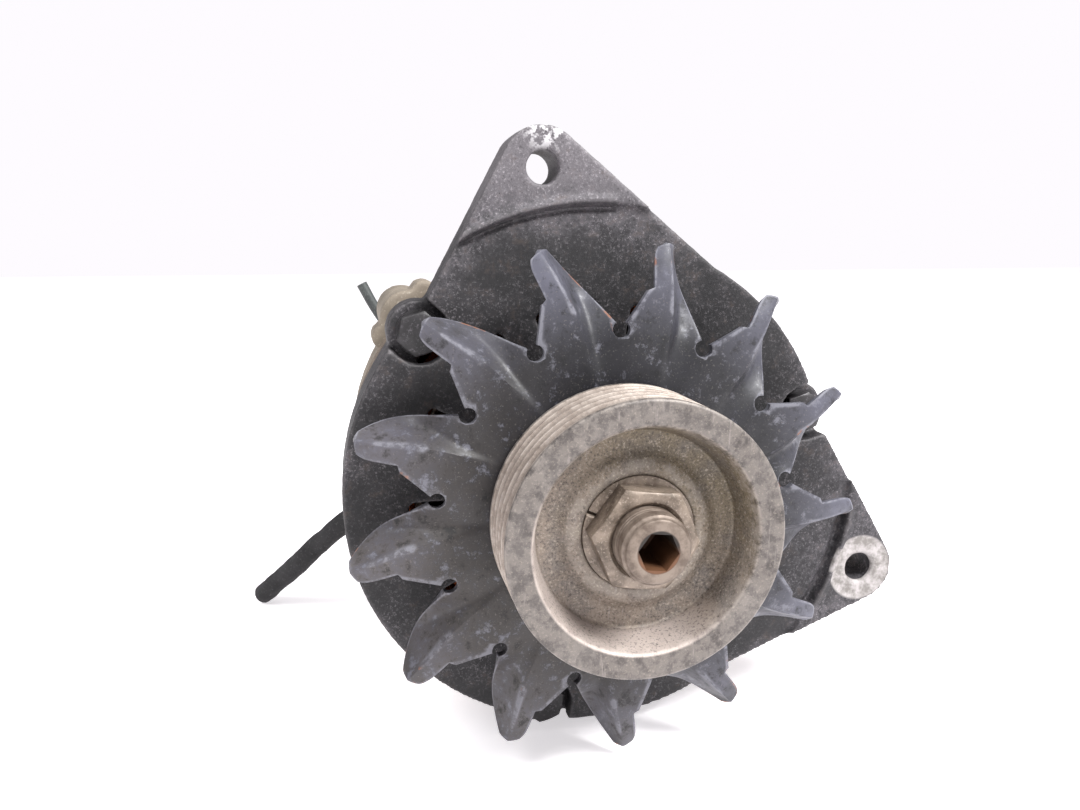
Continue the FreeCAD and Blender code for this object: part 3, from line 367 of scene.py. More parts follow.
def from_shaft(finish, place):
    """Distance from the shaft's axis in metres."""
    flat = add(finish, "VectorMath", {"operation": "MULTIPLY", 1: (1, 0, 1)}, {0: place})
    return add(finish, "VectorMath", {"operation": "LENGTH"}, {0: flat.outputs[0]}).outputs["Value"]


def product(finish, first, second):
    """Multiplies two shares, so that both have to be there."""
    return add(finish, "Math", {"operation": "MULTIPLY"}, {0: first, 1: second}).outputs[0]


pulley_steel, shader = new_finish("dusty_turned_steel", 0.55, 0.35)
place = add(pulley_steel, "TexCoord").outputs["Object"]
radius = from_shaft(pulley_steel, place)
cloud = noise_at(pulley_steel, place, 85.0, 8.0, 0.7)
fine = noise_at(pulley_steel, place, 1700.0, 3.0, 0.75)
blotch = noise_at(pulley_steel, place, 300.0, 5.0, 0.7)
patches = ramp(pulley_steel, cloud, 0.38, 0.62)
base = blend(pulley_steel, patches, "#5c5754", "#433e3c")
stains = ramp(pulley_steel, blotch, 0.48, 0.68, high=0.6)
stained = blend(pulley_steel, stains, base, "#38332f")
# The belt keeps the crests bright, and dirt stays in the roots between them. Light and shade are painted
# here too: a painted highlight on the crests and painted shade in the roots.
crests = ramp(pulley_steel, radius, 0.0295, 0.0319)
rib_wear_and_painted_light = blend(pulley_steel, crests, "#2e2825", "#8f8278")
along = add(pulley_steel, "SeparateXYZ", links={0: place})
from_middle = add(pulley_steel, "Math", {"operation": "ABSOLUTE"}, {0: along.outputs[1]})
belt_room = ramp(pulley_steel, from_middle.outputs[0], 0.0094, 0.0090, high=0.75)
outside = ramp(pulley_steel, radius, 0.0286, 0.0288)
on_ribs = product(pulley_steel, belt_room, outside)
ribbed = blend(pulley_steel, on_ribs, stained, rib_wear_and_painted_light)
# Sandy dust lies in the cup, the room inside a radius of 26 mm. Towards the top and right the dust turns
# darker and greener, which is oily dirt together with painted shade.
in_cup = ramp(pulley_steel, radius, 0.0264, 0.0254)
upward = add(pulley_steel, "VectorMath", {"operation": "DOT_PRODUCT", 1: (0.6, 0, 0.8)}, {0: place})
grime_and_painted_shade = ramp(pulley_steel, upward.outputs["Value"], -0.004, 0.019)
dust_and_shade_colour = blend(pulley_steel, grime_and_painted_shade, "#7d7166", "#665b49")
dust = ramp(pulley_steel, cloud, 0.30, 0.56, high=0.9)
dust_here = product(pulley_steel, in_cup, dust)
dusty = blend(pulley_steel, dust_here, ribbed, dust_and_shade_colour)
near_hub = ramp(pulley_steel, radius, 0.021, 0.0145, high=0.7)
oil = ramp(pulley_steel, blotch, 0.45, 0.6)
oil_here = product(pulley_steel, near_hub, oil)
oiled = blend(pulley_steel, oil_here, dusty, "#4b4335")
# Painted highlight: the cup's wall is made pale on the lower left, where light falls on it.
on_wall = ramp(pulley_steel, radius, 0.0235, 0.0240, high=0.9)
inside_rim = ramp(pulley_steel, radius, 0.0266, 0.0262)
lower_left = ramp(pulley_steel, upward.outputs["Value"], -0.002, -0.014)
wall_here = product(pulley_steel, on_wall, inside_rim)
lit_wall_share = product(pulley_steel, wall_here, lower_left)
lit_wall_colour = blend(pulley_steel, lit_wall_share, oiled, "#9c918b")
# Grains of dirt, dark and pale, each a fraction of a millimetre.
sand = ramp(pulley_steel, radius, 0.0264, 0.0254, 0.3, 0.8)
dark_grains = ramp(pulley_steel, fine, 0.54, 0.66)
specks = product(pulley_steel, dark_grains, sand)
specked = blend(pulley_steel, specks, lit_wall_colour, "#332e2a")
pale_grains = ramp(pulley_steel, fine, 0.44, 0.34)
crumbs = product(pulley_steel, pale_grains, sand)
crumbed = blend(pulley_steel, crumbs, specked, "#948a7e")
# The belt and knocks keep the crests and rims bare.
edge = add(pulley_steel, "NewGeometry").outputs["Pointiness"]
rubbed = ramp(pulley_steel, edge, 0.505, 0.56, high=0.9)
chipped = ramp(pulley_steel, blotch, 0.42, 0.56)
rubbed_here = product(pulley_steel, rubbed, chipped)
nicked = blend(pulley_steel, rubbed_here, crumbed, "#c4bab1")
# Thin scratches cross the front rim.
stretched = add(pulley_steel, "VectorMath", {"operation": "MULTIPLY", 1: (1.0, 1.0, 0.12)}, {0: place})
scratch = add(pulley_steel, "TexNoise", {"Scale": 900.0, "Detail": 2.0}, {"Vector": stretched.outputs[0]})
thin = ramp(pulley_steel, scratch.outputs[0], 0.64, 0.70, high=0.6)
scratched = product(pulley_steel, thin, patches)
colour = blend(pulley_steel, scratched, nicked, "#8d8581")
# Turning marks run round the shaft, about 0.4 mm apart.
marks = add(pulley_steel, "TexNoise", {"noise_dimensions": "1D", "Scale": 2600.0, "Detail": 4.0},
            {"W": radius})
marks_bump = add(pulley_steel, "Bump", {"Strength": 0.25, "Distance": 0.03 * mm},
                 {"Height": marks.outputs[0]})
blotch_bump = add(pulley_steel, "Bump", {"Strength": 0.6, "Distance": 0.12 * mm},
                  {"Height": blotch, "Normal": marks_bump.outputs[0]})
grain_bump = add(pulley_steel, "Bump", {"Strength": 0.8, "Distance": 0.08 * mm},
                 {"Height": fine, "Normal": blotch_bump.outputs[0]})
pulley_steel.node_tree.links.new(colour, shader.inputs["Base Color"])
pulley_steel.node_tree.links.new(grain_bump.outputs[0], shader.inputs["Normal"])
fit(pulley, "rotor", "pulley_steel", pulley_steel, "pulley")

# ------------------------------------------------------------------ lock washer, nut and shaft end
# A split spring washer sits in the pulley's raised ring under the 22 mm nut. All are plain steel
# gone brown, and the shaft's end has a hexagon socket that holds rust.


def close_ends(piece):
    """Puts a face across each open end."""
    pick(piece)
    bpy.ops.object.mode_set(mode="EDIT")
    bpy.ops.mesh.select_all(action="DESELECT")
    bpy.ops.mesh.select_non_manifold(extend=False)
    bpy.ops.mesh.edge_face_add()
    bpy.ops.object.mode_set(mode="OBJECT")


def hexagon_bar(name, flats, y0, y1, turn, x=0.0, z=0.0):
    """Six-sided bar along the shaft, with corners at turn degrees and every 60 from there."""
    bpy.ops.object.select_all(action="DESELECT")
    bpy.ops.mesh.primitive_cylinder_add(vertices=6, radius=flats / math.sqrt(3) * mm,
                                        depth=(y1 - y0) * mm)
    piece = bpy.context.object
    piece.name = name
    upright = Matrix.Rotation(math.pi / 2, 4, "X")
    spin = Matrix.Rotation(-math.radians(turn - 90), 4, "Y")
    put = Matrix.Translation(Vector((x, (y0 + y1) / 2, z)) * mm)
    piece.data.transform(put @ spin @ upright)
    return piece


def round_bar(name, radius, y0, y1, x=0.0, z=0.0, sides=64):
    """Round bar along the shaft."""
    bpy.ops.object.select_all(action="DESELECT")
    bpy.ops.mesh.primitive_cylinder_add(vertices=sides, radius=radius * mm, depth=(y1 - y0) * mm)
    piece = bpy.context.object
    piece.name = name
    put = Matrix.Translation(Vector((x, (y0 + y1) / 2, z)) * mm)
    piece.data.transform(put @ Matrix.Rotation(math.pi / 2, 4, "X"))
    return piece


nut_front, nut_rear, nut_turn = -9.0, -2.8, 173.0
nut = hexagon_bar("pulley_nut_hexagon", 22.0, nut_front, nut_rear, nut_turn)
cut(nut, turn_on_lathe("nut_dome", [(0, nut_front), (10.6, nut_front), (12.9, nut_front + 1.3),
                                    (12.9, nut_rear), (0, nut_rear)], 96), "INTERSECT")
cut(nut, turn_on_lathe("nut_thread", [(0, nut_front - 1), (9.9, nut_front - 1), (8.0, nut_front + 0.9),
                                      (8.0, nut_rear + 1), (0, nut_rear + 1)], 96))
round_edges(nut, 0.22)
brown_steel = worn_finish("browned_nut_steel", "#7d7064", "#51463c", "#a89b8f", 0.45, 0.25, 0.6, 4.0)
fit(nut, "rotor", "fastener_steel", brown_steel, "pulley_nut")

washer_split, washer_gap = 155.0, 5.0
washer_middle, washer_thickness = -1.55, 2.4
saw_slant, end_drop, end_reach = 7.0, 0.2, 40
washer = turn_on_lathe("spring_washer_split", [(8.8, -2.75), (13.2, -2.75), (13.2, -0.35), (8.8, -0.35)],
                       150, math.radians(360 - washer_gap))
close_ends(washer)
for vertex in washer.data.vertices:
    around = math.atan2(vertex.co.z, vertex.co.x)
    # The saw cut is slanted, and one of its ends stands a little lower than the other.
    slant = math.radians(saw_slant) * (vertex.co.y / mm - washer_middle) / washer_thickness
    vertex.co = Matrix.Rotation(slant, 4, "Y") @ vertex.co
    near_end = max(0.0, 1 - abs(around) / math.radians(end_reach))
    vertex.co.y += end_drop * mm * near_end * (around < 0)
washer.data.transform(Matrix.Rotation(-math.radians(washer_split), 4, "Y"))
face_outward(washer)
round_edges(washer, 0.15)
fit(washer, "rotor", "fastener_steel", brown_steel, "spring_washer")

shaft_outline = [(0, -16.0), (6.6, -16.0), (7.1, -15.75), (7.3, -15.2), (7.45, -14.9), (7.85, -14.6),
                 (8.0, -14.1), (8.0, -13.2), (7.8, -12.9)]
thread_pitch, thread_depth, thread_crest, thread_foot = 1.0, 0.3, 0.35, 0.65
for turn in range(3):
    crest = -12.4 + turn * thread_pitch
    shaft_outline += [(8.0, crest), (8.0, crest + thread_crest),
                      (8.0 - thread_depth, crest + thread_foot)]
shaft_outline += [(8.0, -9.0), (8.0, -2.8), (8.5, -0.3), (8.5, 44.0), (10.0, 44.0), (10.0, 78.0),
                  (8.5, 78.0), (8.5, 99.0), (7.5, 99.0), (7.5, 110.0), (0, 110.0)]
shaft = turn_on_lathe("rotor_shaft_turned", shaft_outline, 96)
cut(shaft, hexagon_bar("shaft_socket", 8.0, -17.0, -2.0, nut_turn))
round_edges(shaft, 0.12)
shaft_steel, shader = new_finish("shaft_end_steel", 0.5, 0.4)
place = add(shaft_steel, "TexCoord").outputs["Object"]
parts = add(shaft_steel, "SeparateXYZ", links={0: place})
radius = from_shaft(shaft_steel, place)
cloud = noise_at(shaft_steel, place, 260.0, 5.0, 0.65)
mottle = ramp(shaft_steel, cloud, 0.4, 0.6)
base = blend(shaft_steel, mottle, "#75695f", "#54483f")
# Painted shade: the socket is darkened inside a radius of about 4.7 mm, and orange rust lies on its lower
# walls.
inside = ramp(shaft_steel, radius, 0.0049, 0.0046)
low = ramp(shaft_steel, parts.outputs[2], 0.0012, -0.0022)
wet = product(shaft_steel, inside, low)
dark = blend(shaft_steel, inside, base, "#1d1713")
rust = blend(shaft_steel, wet, dark, "#5e3f2a")
bump = add(shaft_steel, "Bump", {"Strength": 0.5, "Distance": 0.08 * mm}, {"Height": cloud})
shaft_steel.node_tree.links.new(rust, shader.inputs["Base Color"])
shaft_steel.node_tree.links.new(bump.outputs[0], shader.inputs["Normal"])
fit(shaft, "rotor", "shaft_steel", shaft_steel, "rotor_shaft")

# ------------------------------------------------------------------ cooling fan
# One disc of 1.8 mm sheet steel, slit between 13 round relief holes. Each sector ends in a finger,
# and its clockwise side is folded back as a vane, with a pressed crease towards the next hole.
# It is sprayed a satin blue-grey, worn on its folds, dusty, and rusted at a few cut edges.

# One sector, its left relief hole at the top: rows from the disc out to the fingertip, each from
# the slit over the ridge and the crease to the folded edge, as (x, z, depth) in mm.
sector = [
    [(0.0, 20.0, 0.0), (3.13, 19.75, 0.0), (5.85, 19.13, 0.0), (6.84, 18.79, 0.0), (7.97, 18.34, 0.0),
     (9.29, 17.71, 0.0)],
    [(0.0, 33.0, 0.0), (5.16, 32.59, 0.0), (9.65, 31.56, 0.0), (11.29, 31.01, 0.0), (13.16, 30.26, 0.0),
     (15.33, 29.22, 0.0)],
    [(0.0, 39.5, 0.0), (6.2, 39.9, 0.0), (11.2, 39.4, 0.0), (13.2, 38.9, 1.9), (15.8, 37.6, 1.2),
     (18.35, 34.98, 0.0)],
    [(0.0, 44.16, 0.0), (6.4, 44.8, 0.0), (12.0, 43.9, 0.0), (14.3, 42.8, 3.1), (17.2, 41.4, 2.1),
     (20.52, 39.1, 0.0)],
    [(3.2, 48.7, 0.0), (7.8, 48.4, 0.0), (12.3, 47.4, 0.1), (15.2, 46.1, 5.0), (17.6, 44.9, 4.3),
     (19.9, 42.9, 2.2)],
    [(6.3, 53.3, 0.3), (9.2, 51.9, 0.1), (12.4, 50.6, 0.2), (15.9, 49.4, 7.2), (17.5, 48.9, 7.2),
     (18.9, 48.2, 7.2)],
    [(7.8, 53.9, 0.6), (10.1, 53.6, 0.3), (12.4, 53.6, 0.3), (15.2, 53.7, 7.4), (16.5, 53.7, 9.6),
     (17.55, 53.6, 10.9)],
    [(8.0, 58.0, 1.5), (10.3, 58.1, 1.0), (12.3, 58.2, 1.2), (14.4, 58.1, 6.3), (15.4, 58.05, 8.6),
     (16.2, 58.0, 10.2)],
    [(8.2, 61.6, 2.8), (10.4, 62.0, 2.4), (12.2, 62.3, 2.7), (13.4, 62.1, 5.0), (14.2, 61.7, 6.6),
     (14.9, 61.3, 8.0)],
    [(9.2, 63.2, 3.3), (10.8, 63.8, 3.2), (12.1, 64.0, 3.3), (12.9, 63.8, 4.1), (13.5, 63.6, 4.8),
     (14.0, 63.3, 5.6)],
]
blades = 13
step_angle = 2 * math.pi / blades
fan_front = 12.4
first_hole = 89.85 + 360 / blades
hole_circle = 44.16
finger_root, finger_length, finger_bend = 50, 14, 0.35
fan_thickness, hole_radius = 1.8, 2.0


def spot(point):
    """Place of a point, rounded so that points that merge share it."""
    return tuple(round(c, 6) for c in point)


random.seed(4)
points, quads = [], []
for blade in range(blades):
    # Seen from the front, the blades follow one another clockwise.
    turned = math.radians(first_hole - 90) + blade * step_angle
    bend = random.uniform(-finger_bend, finger_bend)
    first = len(points)
    for row in sector:
        for x, z, depth in row:
            reach = max(0.0, math.hypot(x, z) - finger_root) / finger_length
            across = x * math.cos(turned) - z * math.sin(turned)
            up = x * math.sin(turned) + z * math.cos(turned)
            points.append(Vector((across, fan_front + depth + bend * reach, up)) * mm)
    wide = len(sector[0])
    for i in range(len(sector) - 1):
        for j in range(wide - 1):
            corner = first + i * wide + j
            quads.append((corner, corner + wide, corner + wide + 1, corner + 1))
sheet = bpy.data.meshes.new("fan_sheet")
sheet.from_pydata(points, [], quads)
fan = bpy.data.objects.new("cooling_fan_pressed", sheet)
scene.collection.objects.link(fan)
join_points(fan, 0.02 * mm)
face_outward(fan)
if sum(face.normal.y * face.area for face in sheet.polygons) > 0:
    sheet.flip_normals()
crease = sheet.attributes.new("crease_edge", "FLOAT", "EDGE")
used = {}
for face in sheet.polygons:
    for key in face.edge_keys:
        used[key] = used.get(key, 0) + 1
column = {}
for number, point in enumerate(points):
    column[spot(point)] = number % wide
folds = {2: 0.6, 3: 0.3, 4: 0.5}
for edge in sheet.edges:
    ends = [column.get(spot(sheet.vertices[v].co)) for v in edge.vertices]
    if used[edge.key] == 1:
        crease.data[edge.index].value = 1.0
    elif ends[0] == ends[1] and ends[0] in folds:
        crease.data[edge.index].value = folds[ends[0]]
corners = sheet.attributes.new("crease_vert", "FLOAT", "POINT")
sharp = [row * wide for row in (3, 5, 6, 9)] + [row * wide + wide - 1 for row in (3, 9)]
sharp_spots = [spot(point) for number, point in enumerate(points)
               if number % (len(sector) * wide) in sharp]
for vertex in sheet.vertices:
    if spot(vertex.co) in sharp_spots:
        corners.data[vertex.index].value = 1.0
shape(fan, "SUBSURF", levels=2, render_levels=2)
shape(fan, "SOLIDIFY", thickness=fan_thickness * mm, offset=-1.0, use_even_offset=True)
for blade in range(blades):
    turned = math.radians(first_hole) + blade * step_angle
    cut(fan, round_bar("relief_hole", hole_radius, fan_front - 2, fan_front + 4,
                       hole_circle * math.cos(turned), hole_circle * math.sin(turned), 40))
round_edges(fan, 0.2, 2, 50)

fan_paint, shader = new_finish("satin_blue_grey_paint", 0.45, 0.0)
shader.inputs["Specular IOR Level"].default_value = 0.35
place = add(fan_paint, "TexCoord").outputs["Object"]
cloud = noise_at(fan_paint, place, 75.0, 6.0, 0.62)
fine = noise_at(fan_paint, place, 1900.0, 3.0, 0.75)
blotch = noise_at(fan_paint, place, 230.0, 6.0, 0.75)
patches = ramp(fan_paint, cloud, 0.35, 0.65)
base = blend(fan_paint, patches, "#52525d", "#34343a")
# Painted shade: the paint is darkened nearly to black towards the hub, beside the pulley, and fades out
# beyond the relief holes.
radius = from_shaft(fan_paint, place)
ragged = add(fan_paint, "Math", {"operation": "MULTIPLY_ADD", 1: 0.03}, {0: cloud, 2: radius})
near_hub = ramp(fan_paint, ragged.outputs[0], 0.072, 0.057, high=0.88)
hub_shade_colour = blend(fan_paint, near_hub, base, "#0f0e10")
# Brown-grey road dust sticks mostly to the side that faces left and down as the fan stands.
sides = add(fan_paint, "VectorMath", {"operation": "DOT_PRODUCT", 1: (-0.8, 0, -0.5)}, {0: place})
left = ramp(fan_paint, sides.outputs["Value"], -0.01, 0.05, high=0.8)
dust = ramp(fan_paint, blotch, 0.36, 0.62, low=0.25)
dust_here = product(fan_paint, left, dust)
dusty = blend(fan_paint, dust_here, hub_shade_colour, "#423c37")
# The paint is rubbed dark in places and scuffed pale in others.
dark_rubs = ramp(fan_paint, blotch, 0.54, 0.66, high=0.8)
rubbed_dark = blend(fan_paint, dark_rubs, dusty, "#151517")
scuffs = ramp(fan_paint, blotch, 0.43, 0.34, high=0.7)
scuffed = blend(fan_paint, scuffs, rubbed_dark, "#63636b")
specks = ramp(fan_paint, fine, 0.60, 0.72, high=0.4)
specked = blend(fan_paint, specks, scuffed, "#77726d")
edge = add(fan_paint, "NewGeometry").outputs["Pointiness"]
rubbed = ramp(fan_paint, edge, 0.57, 0.72, high=0.6)
broken = ramp(fan_paint, blotch, 0.46, 0.56, low=0.15)
rubbed_here = product(fan_paint, rubbed, broken)
worn = blend(fan_paint, rubbed_here, specked, "#77777f")
# Rust starts where the paint is chipped from a cut edge.
chips = ramp(fan_paint, cloud, 0.60, 0.65, high=0.8)
bare_edge = ramp(fan_paint, edge, 0.64, 0.70)
rust_here = product(fan_paint, chips, bare_edge)
colour = blend(fan_paint, rust_here, worn, "#80533a")
gloss = ramp(fan_paint, blotch, 0.35, 0.65, 0.38, 0.62)
bump = add(fan_paint, "Bump", {"Strength": 0.6, "Distance": 0.1 * mm}, {"Height": blotch})
fan_paint.node_tree.links.new(colour, shader.inputs["Base Color"])
fan_paint.node_tree.links.new(gloss, shader.inputs["Roughness"])
fan_paint.node_tree.links.new(bump.outputs[0], shader.inputs["Normal"])
fit(fan, "rotor", "fan_paint", fan_paint, "cooling_fan")

# ------------------------------------------------------------------ drive-end bracket
# Die-cast aluminium with two lugs. The casting is soft-edged and grainy, nearly black with oily dirt
# and painted shadow behind the fan, and speckled with white oxide. The lower lug has a bright machined
# ring round its hole.


def soften_casting(name, node, voxel):
    """Casting with drafted, rounded edges from a merged copy of a CAD node."""
    copy = bpy.data.objects.new(name, frame["nodes"][node].data.copy())
    scene.collection.objects.link(copy)
    join_points(copy, same_point)
    shape(copy, "REMESH", mode="VOXEL", voxel_size=voxel * mm, adaptivity=0.0)
    shape(copy, "SMOOTH", factor=0.5, iterations=2)
    sand = bpy.data.textures.new(name + "_sand", "CLOUDS")
    sand.noise_scale = 3.0 * mm
    shape(copy, "DISPLACE", texture=sand, strength=0.22 * mm, mid_level=0.5,
          texture_coords="LOCAL")
    pick(copy)
    bpy.ops.object.shade_smooth()
    return copy


front_casting, shader = new_finish("oxidised_die_casting", 0.6, 0.25)
place = add(front_casting, "TexCoord").outputs["Object"]
cloud = noise_at(front_casting, place, 60.0, 6.0, 0.65)
fine = noise_at(front_casting, place, 1500.0, 4.0, 0.8)
pits = noise_at(front_casting, place, 330.0, 3.0, 0.7)
mottle = ramp(front_casting, pits, 0.40, 0.62)
base = blend(front_casting, mottle, "#2b292c", "#504d51")
patches = ramp(front_casting, cloud, 0.56, 0.40, high=0.7)
sooty = blend(front_casting, patches, base, "#1b1a1c")
# Painted shadow of the fan: the casting is darkened behind the fan, inside a radius of about 68 mm.
radius = from_shaft(front_casting, place)
ragged = add(front_casting, "Math", {"operation": "MULTIPLY_ADD", 1: 0.02}, {0: cloud, 2: radius})
behind_fan = ramp(front_casting, ragged.outputs[0], 0.084, 0.072, high=0.75)
fan_shadow_colour = blend(front_casting, behind_fan, sooty, "#131214")
# The upper lug, outside the painted shadow behind the fan, is a paler and smoother grey.
height = add(front_casting, "SeparateXYZ", links={0: place})
on_lug = ramp(front_casting, height.outputs[2], 0.068, 0.080, high=0.75)
lug_grey = blend(front_casting, on_lug, fan_shadow_colour, "#5d595d")
browned = ramp(front_casting, pits, 0.56, 0.70, high=0.4)
brown = blend(front_casting, browned, lug_grey, "#40342d")
oxide = ramp(front_casting, fine, 0.54, 0.68)
oxide_patches = ramp(front_casting, cloud, 0.38, 0.62, 0.15, 0.85)
clear_of_fan = ramp(front_casting, behind_fan, 0.0, 1.0, 1.0, 0.55)
oxide_grown = product(front_casting, oxide, oxide_patches)
oxide_here = product(front_casting, oxide_grown, clear_of_fan)
whitened = blend(front_casting, oxide_here, brown, "#8b868a")
holes = ramp(front_casting, fine, 0.42, 0.30, high=0.9)
pitted = blend(front_casting, holes, whitened, "#121113")
edge = add(front_casting, "NewGeometry").outputs["Pointiness"]
rubbed = ramp(front_casting, edge, 0.53, 0.62, high=0.45)
worn = blend(front_casting, rubbed, pitted, "#8d898a")
# The machined ring: within 9.4 mm of the lower lug's hole, on the front only.
pivot_lug = (77.72 * mm, 30.2 * mm, -27.37 * mm)
from_lug = add(front_casting, "VectorMath", {"operation": "SUBTRACT", 1: pivot_lug}, {0: place})
squeezed = add(front_casting, "VectorMath", {"operation": "MULTIPLY", 1: (1, 6, 1)},
               {0: from_lug.outputs[0]})
far = add(front_casting, "VectorMath", {"operation": "LENGTH"}, {0: squeezed.outputs[0]})
ring_mask = ramp(front_casting, far.outputs["Value"], 0.0098, 0.0092, high=0.92)
stain = ramp(front_casting, pits, 0.38, 0.62)
bright = blend(front_casting, stain, "#aaa5a4", "#77736f")
ringed = blend(front_casting, ring_mask, worn, bright)
# Bare chips at the top of the upper lug, where it has been knocked.
knock = (-14.0 * mm, 31.0 * mm, 92.0 * mm)
from_knock = add(front_casting, "VectorMath", {"operation": "DISTANCE", 1: knock}, {0: place})
near_knock = ramp(front_casting, from_knock.outputs["Value"], 0.0075, 0.0035)
flaked = ramp(front_casting, pits, 0.50, 0.56)
chip_here = product(front_casting, near_knock, flaked)
colour = blend(front_casting, chip_here, ringed, "#b3b1b3")
bump = add(front_casting, "Bump", {"Strength": 0.8, "Distance": 0.15 * mm}, {"Height": fine})
front_casting.node_tree.links.new(colour, shader.inputs["Base Color"])
front_casting.node_tree.links.new(bump.outputs[0], shader.inputs["Normal"])

bracket = soften_casting("drive_end_casting", "drive_end_bracket", 0.8)
# A cast bead crosses the plate at the foot of each lug, with a groove below it.
bead_radius, bead_width, bead_height = 74.3, 0.9, 0.9
groove_below, groove_width, groove_depth = 1.8, 0.75, 1.5
front_of_plate, fade_angle = 34.0, 2.0
beads = [(86.0, 120.0), (-33.0, -6.0)]
for vertex in bracket.data.vertices:
    x, y, z = vertex.co / mm
    around = math.degrees(math.atan2(z, x))
    above = math.hypot(x, z) - bead_radius
    for start, end in beads:
        if y < front_of_plate and start < around < end:
            ends = min(1.0, (end - around) / fade_angle, (around - start) / fade_angle)
            bead = math.exp(-(above / bead_width) ** 2) * bead_height
            groove = math.exp(-((above + groove_below) / groove_width) ** 2) * groove_depth
            vertex.co.y -= (bead - groove) * ends * mm
fit(bracket, "housing", "front_casting", front_casting, "drive_end_bracket")

# Case bolts: 10 mm hexagon heads with a turned chamfer, on plain washers in their pockets.
dark_steel = worn_finish("dirty_bolt_steel", "#2e2c2e", "#1d1c1d", "#575358", 0.5, 0.3, 0.7, 6.0)
bolt_circle, bolt_angles = 61.6, (137.0, 257.0, 17.0)
head_front, head_rear, bolt_end = 32.5, 36.5, 108.0
head_flats, head_radius, head_top, head_chamfer, shank_radius = 10.0, 5.9, 4.75, 0.65, 3.0
plain_radius, plain_bore, plain_thickness = 5.8, 3.3, 1.0
for number, angle in enumerate(bolt_angles, 1):
    x, z = (bolt_circle * f(math.radians(angle)) for f in (math.cos, math.sin))
    dome = turn_on_lathe("bolt_dome", [(0, head_front), (head_top, head_front),
                                       (head_radius, head_front + head_chamfer),
                                       (head_radius, head_rear), (0, head_rear)], 64)
    dome.data.transform(Matrix.Translation(Vector((x, 0, z)) * mm))
    bolt = hexagon_bar(f"case_bolt_{number}", head_flats, head_front, head_rear, angle, x, z)
    cut(bolt, dome, "INTERSECT")
    cut(bolt, round_bar("bolt_shank", shank_radius, head_rear - 0.5, bolt_end, x, z, 32), "UNION")
    round_edges(bolt, 0.15)
    fit(bolt, "housing", "fastener_steel", dark_steel, *(["through_bolts"] if number == 1 else []))
    washer_ring = round_bar(f"case_bolt_washer_{number}", plain_radius, head_rear,
                            head_rear + plain_thickness, x, z)
    cut(washer_ring, round_bar("washer_hole", plain_bore, head_rear - 1, head_rear + 2, x, z, 32))
    round_edges(washer_ring, 0.12)
    fit(washer_ring, "housing", "fastener_steel", dark_steel,
        *(["through_bolt_washers"] if number == 1 else []))

# ------------------------------------------------------------------ stator
# A stack of half-millimetre steel stampings, held between the two castings. Its edge shows the
# stack as fine uneven ridges, stained brown and grey.
lamination_steel = worn_finish("stained_lamination_steel", "#766a5e", "#5f544b", "#9c8f82",
                               0.6, 0.3, 0.8)
stack_front, stack_rear, sheet_pitch, sheets = 47.5, 76.0, 0.57, 50
stack_bore, sheet_radius, seam_radius, unevenness = 60.0, 63.3, 63.15, 0.16
bolt_room, bolt_room_radius = 3.4, 63.0
random.seed(7)
stack_outline = [(stack_bore, stack_rear), (stack_bore, stack_front)]
for layer in range(sheets):
    edge_radius = sheet_radius + random.uniform(0.0, unevenness)
    front = stack_front + layer * sheet_pitch
    stack_outline += [(edge_radius, front + 0.06), (edge_radius, front + sheet_pitch - 0.1),
                      (seam_radius, front + sheet_pitch)]
for number, angle in enumerate(bolt_angles, 1):
    gap = math.degrees(bolt_room / bolt_room_radius)
    arc = turn_on_lathe(f"stator_stack_{number}", stack_outline, 60, math.radians(120 - 2 * gap))
    close_ends(arc)
    face_outward(arc)
    # The lathe turns its section clockwise seen from the front, so the arc starts past the bolt.
    arc.data.transform(Matrix.Rotation(-math.radians(angle - gap), 4, "Y"))
    fit(arc, "housing", "lamination_steel", lamination_steel)

# ------------------------------------------------------------------ slip-ring-end bracket
# The rear casting, plain aluminium, dull and beige with dust and white corrosion, with rounded
# bosses and ribs round its case bolts and slots in its face.
rear_casting = worn_finish("dusty_die_casting", "#7f7568", "#6a6256", "#a59d90", 0.7, 0.1, 0.7, 9.0)
rear_bracket = soften_casting("slip_ring_end_casting", "slip_ring_end_bracket", 0.9)
fit(rear_bracket, "housing", "rear_casting", rear_casting, "slip_ring_end_bracket")

# ------------------------------------------------------------------ terminals and lead ends
# Black phenolic bushes, plated studs and flanged nuts, and tinned lugs pressed round the lead ends.
bush_plastic = worn_finish("black_bush_plastic", "#26262a", "#19191c", "#55545a", 0.5, 0.0, 0.6)
stud_steel = worn_finish("plated_stud_steel", "#a8a196", "#857a6a", "#d2cdc4", 0.4, 0.8, 0.5)
tinned_copper = worn_finish("tinned_lug_copper", "#a5a096", "#847a6c", "#c9a27d", 0.4, 0.85, 0.5)

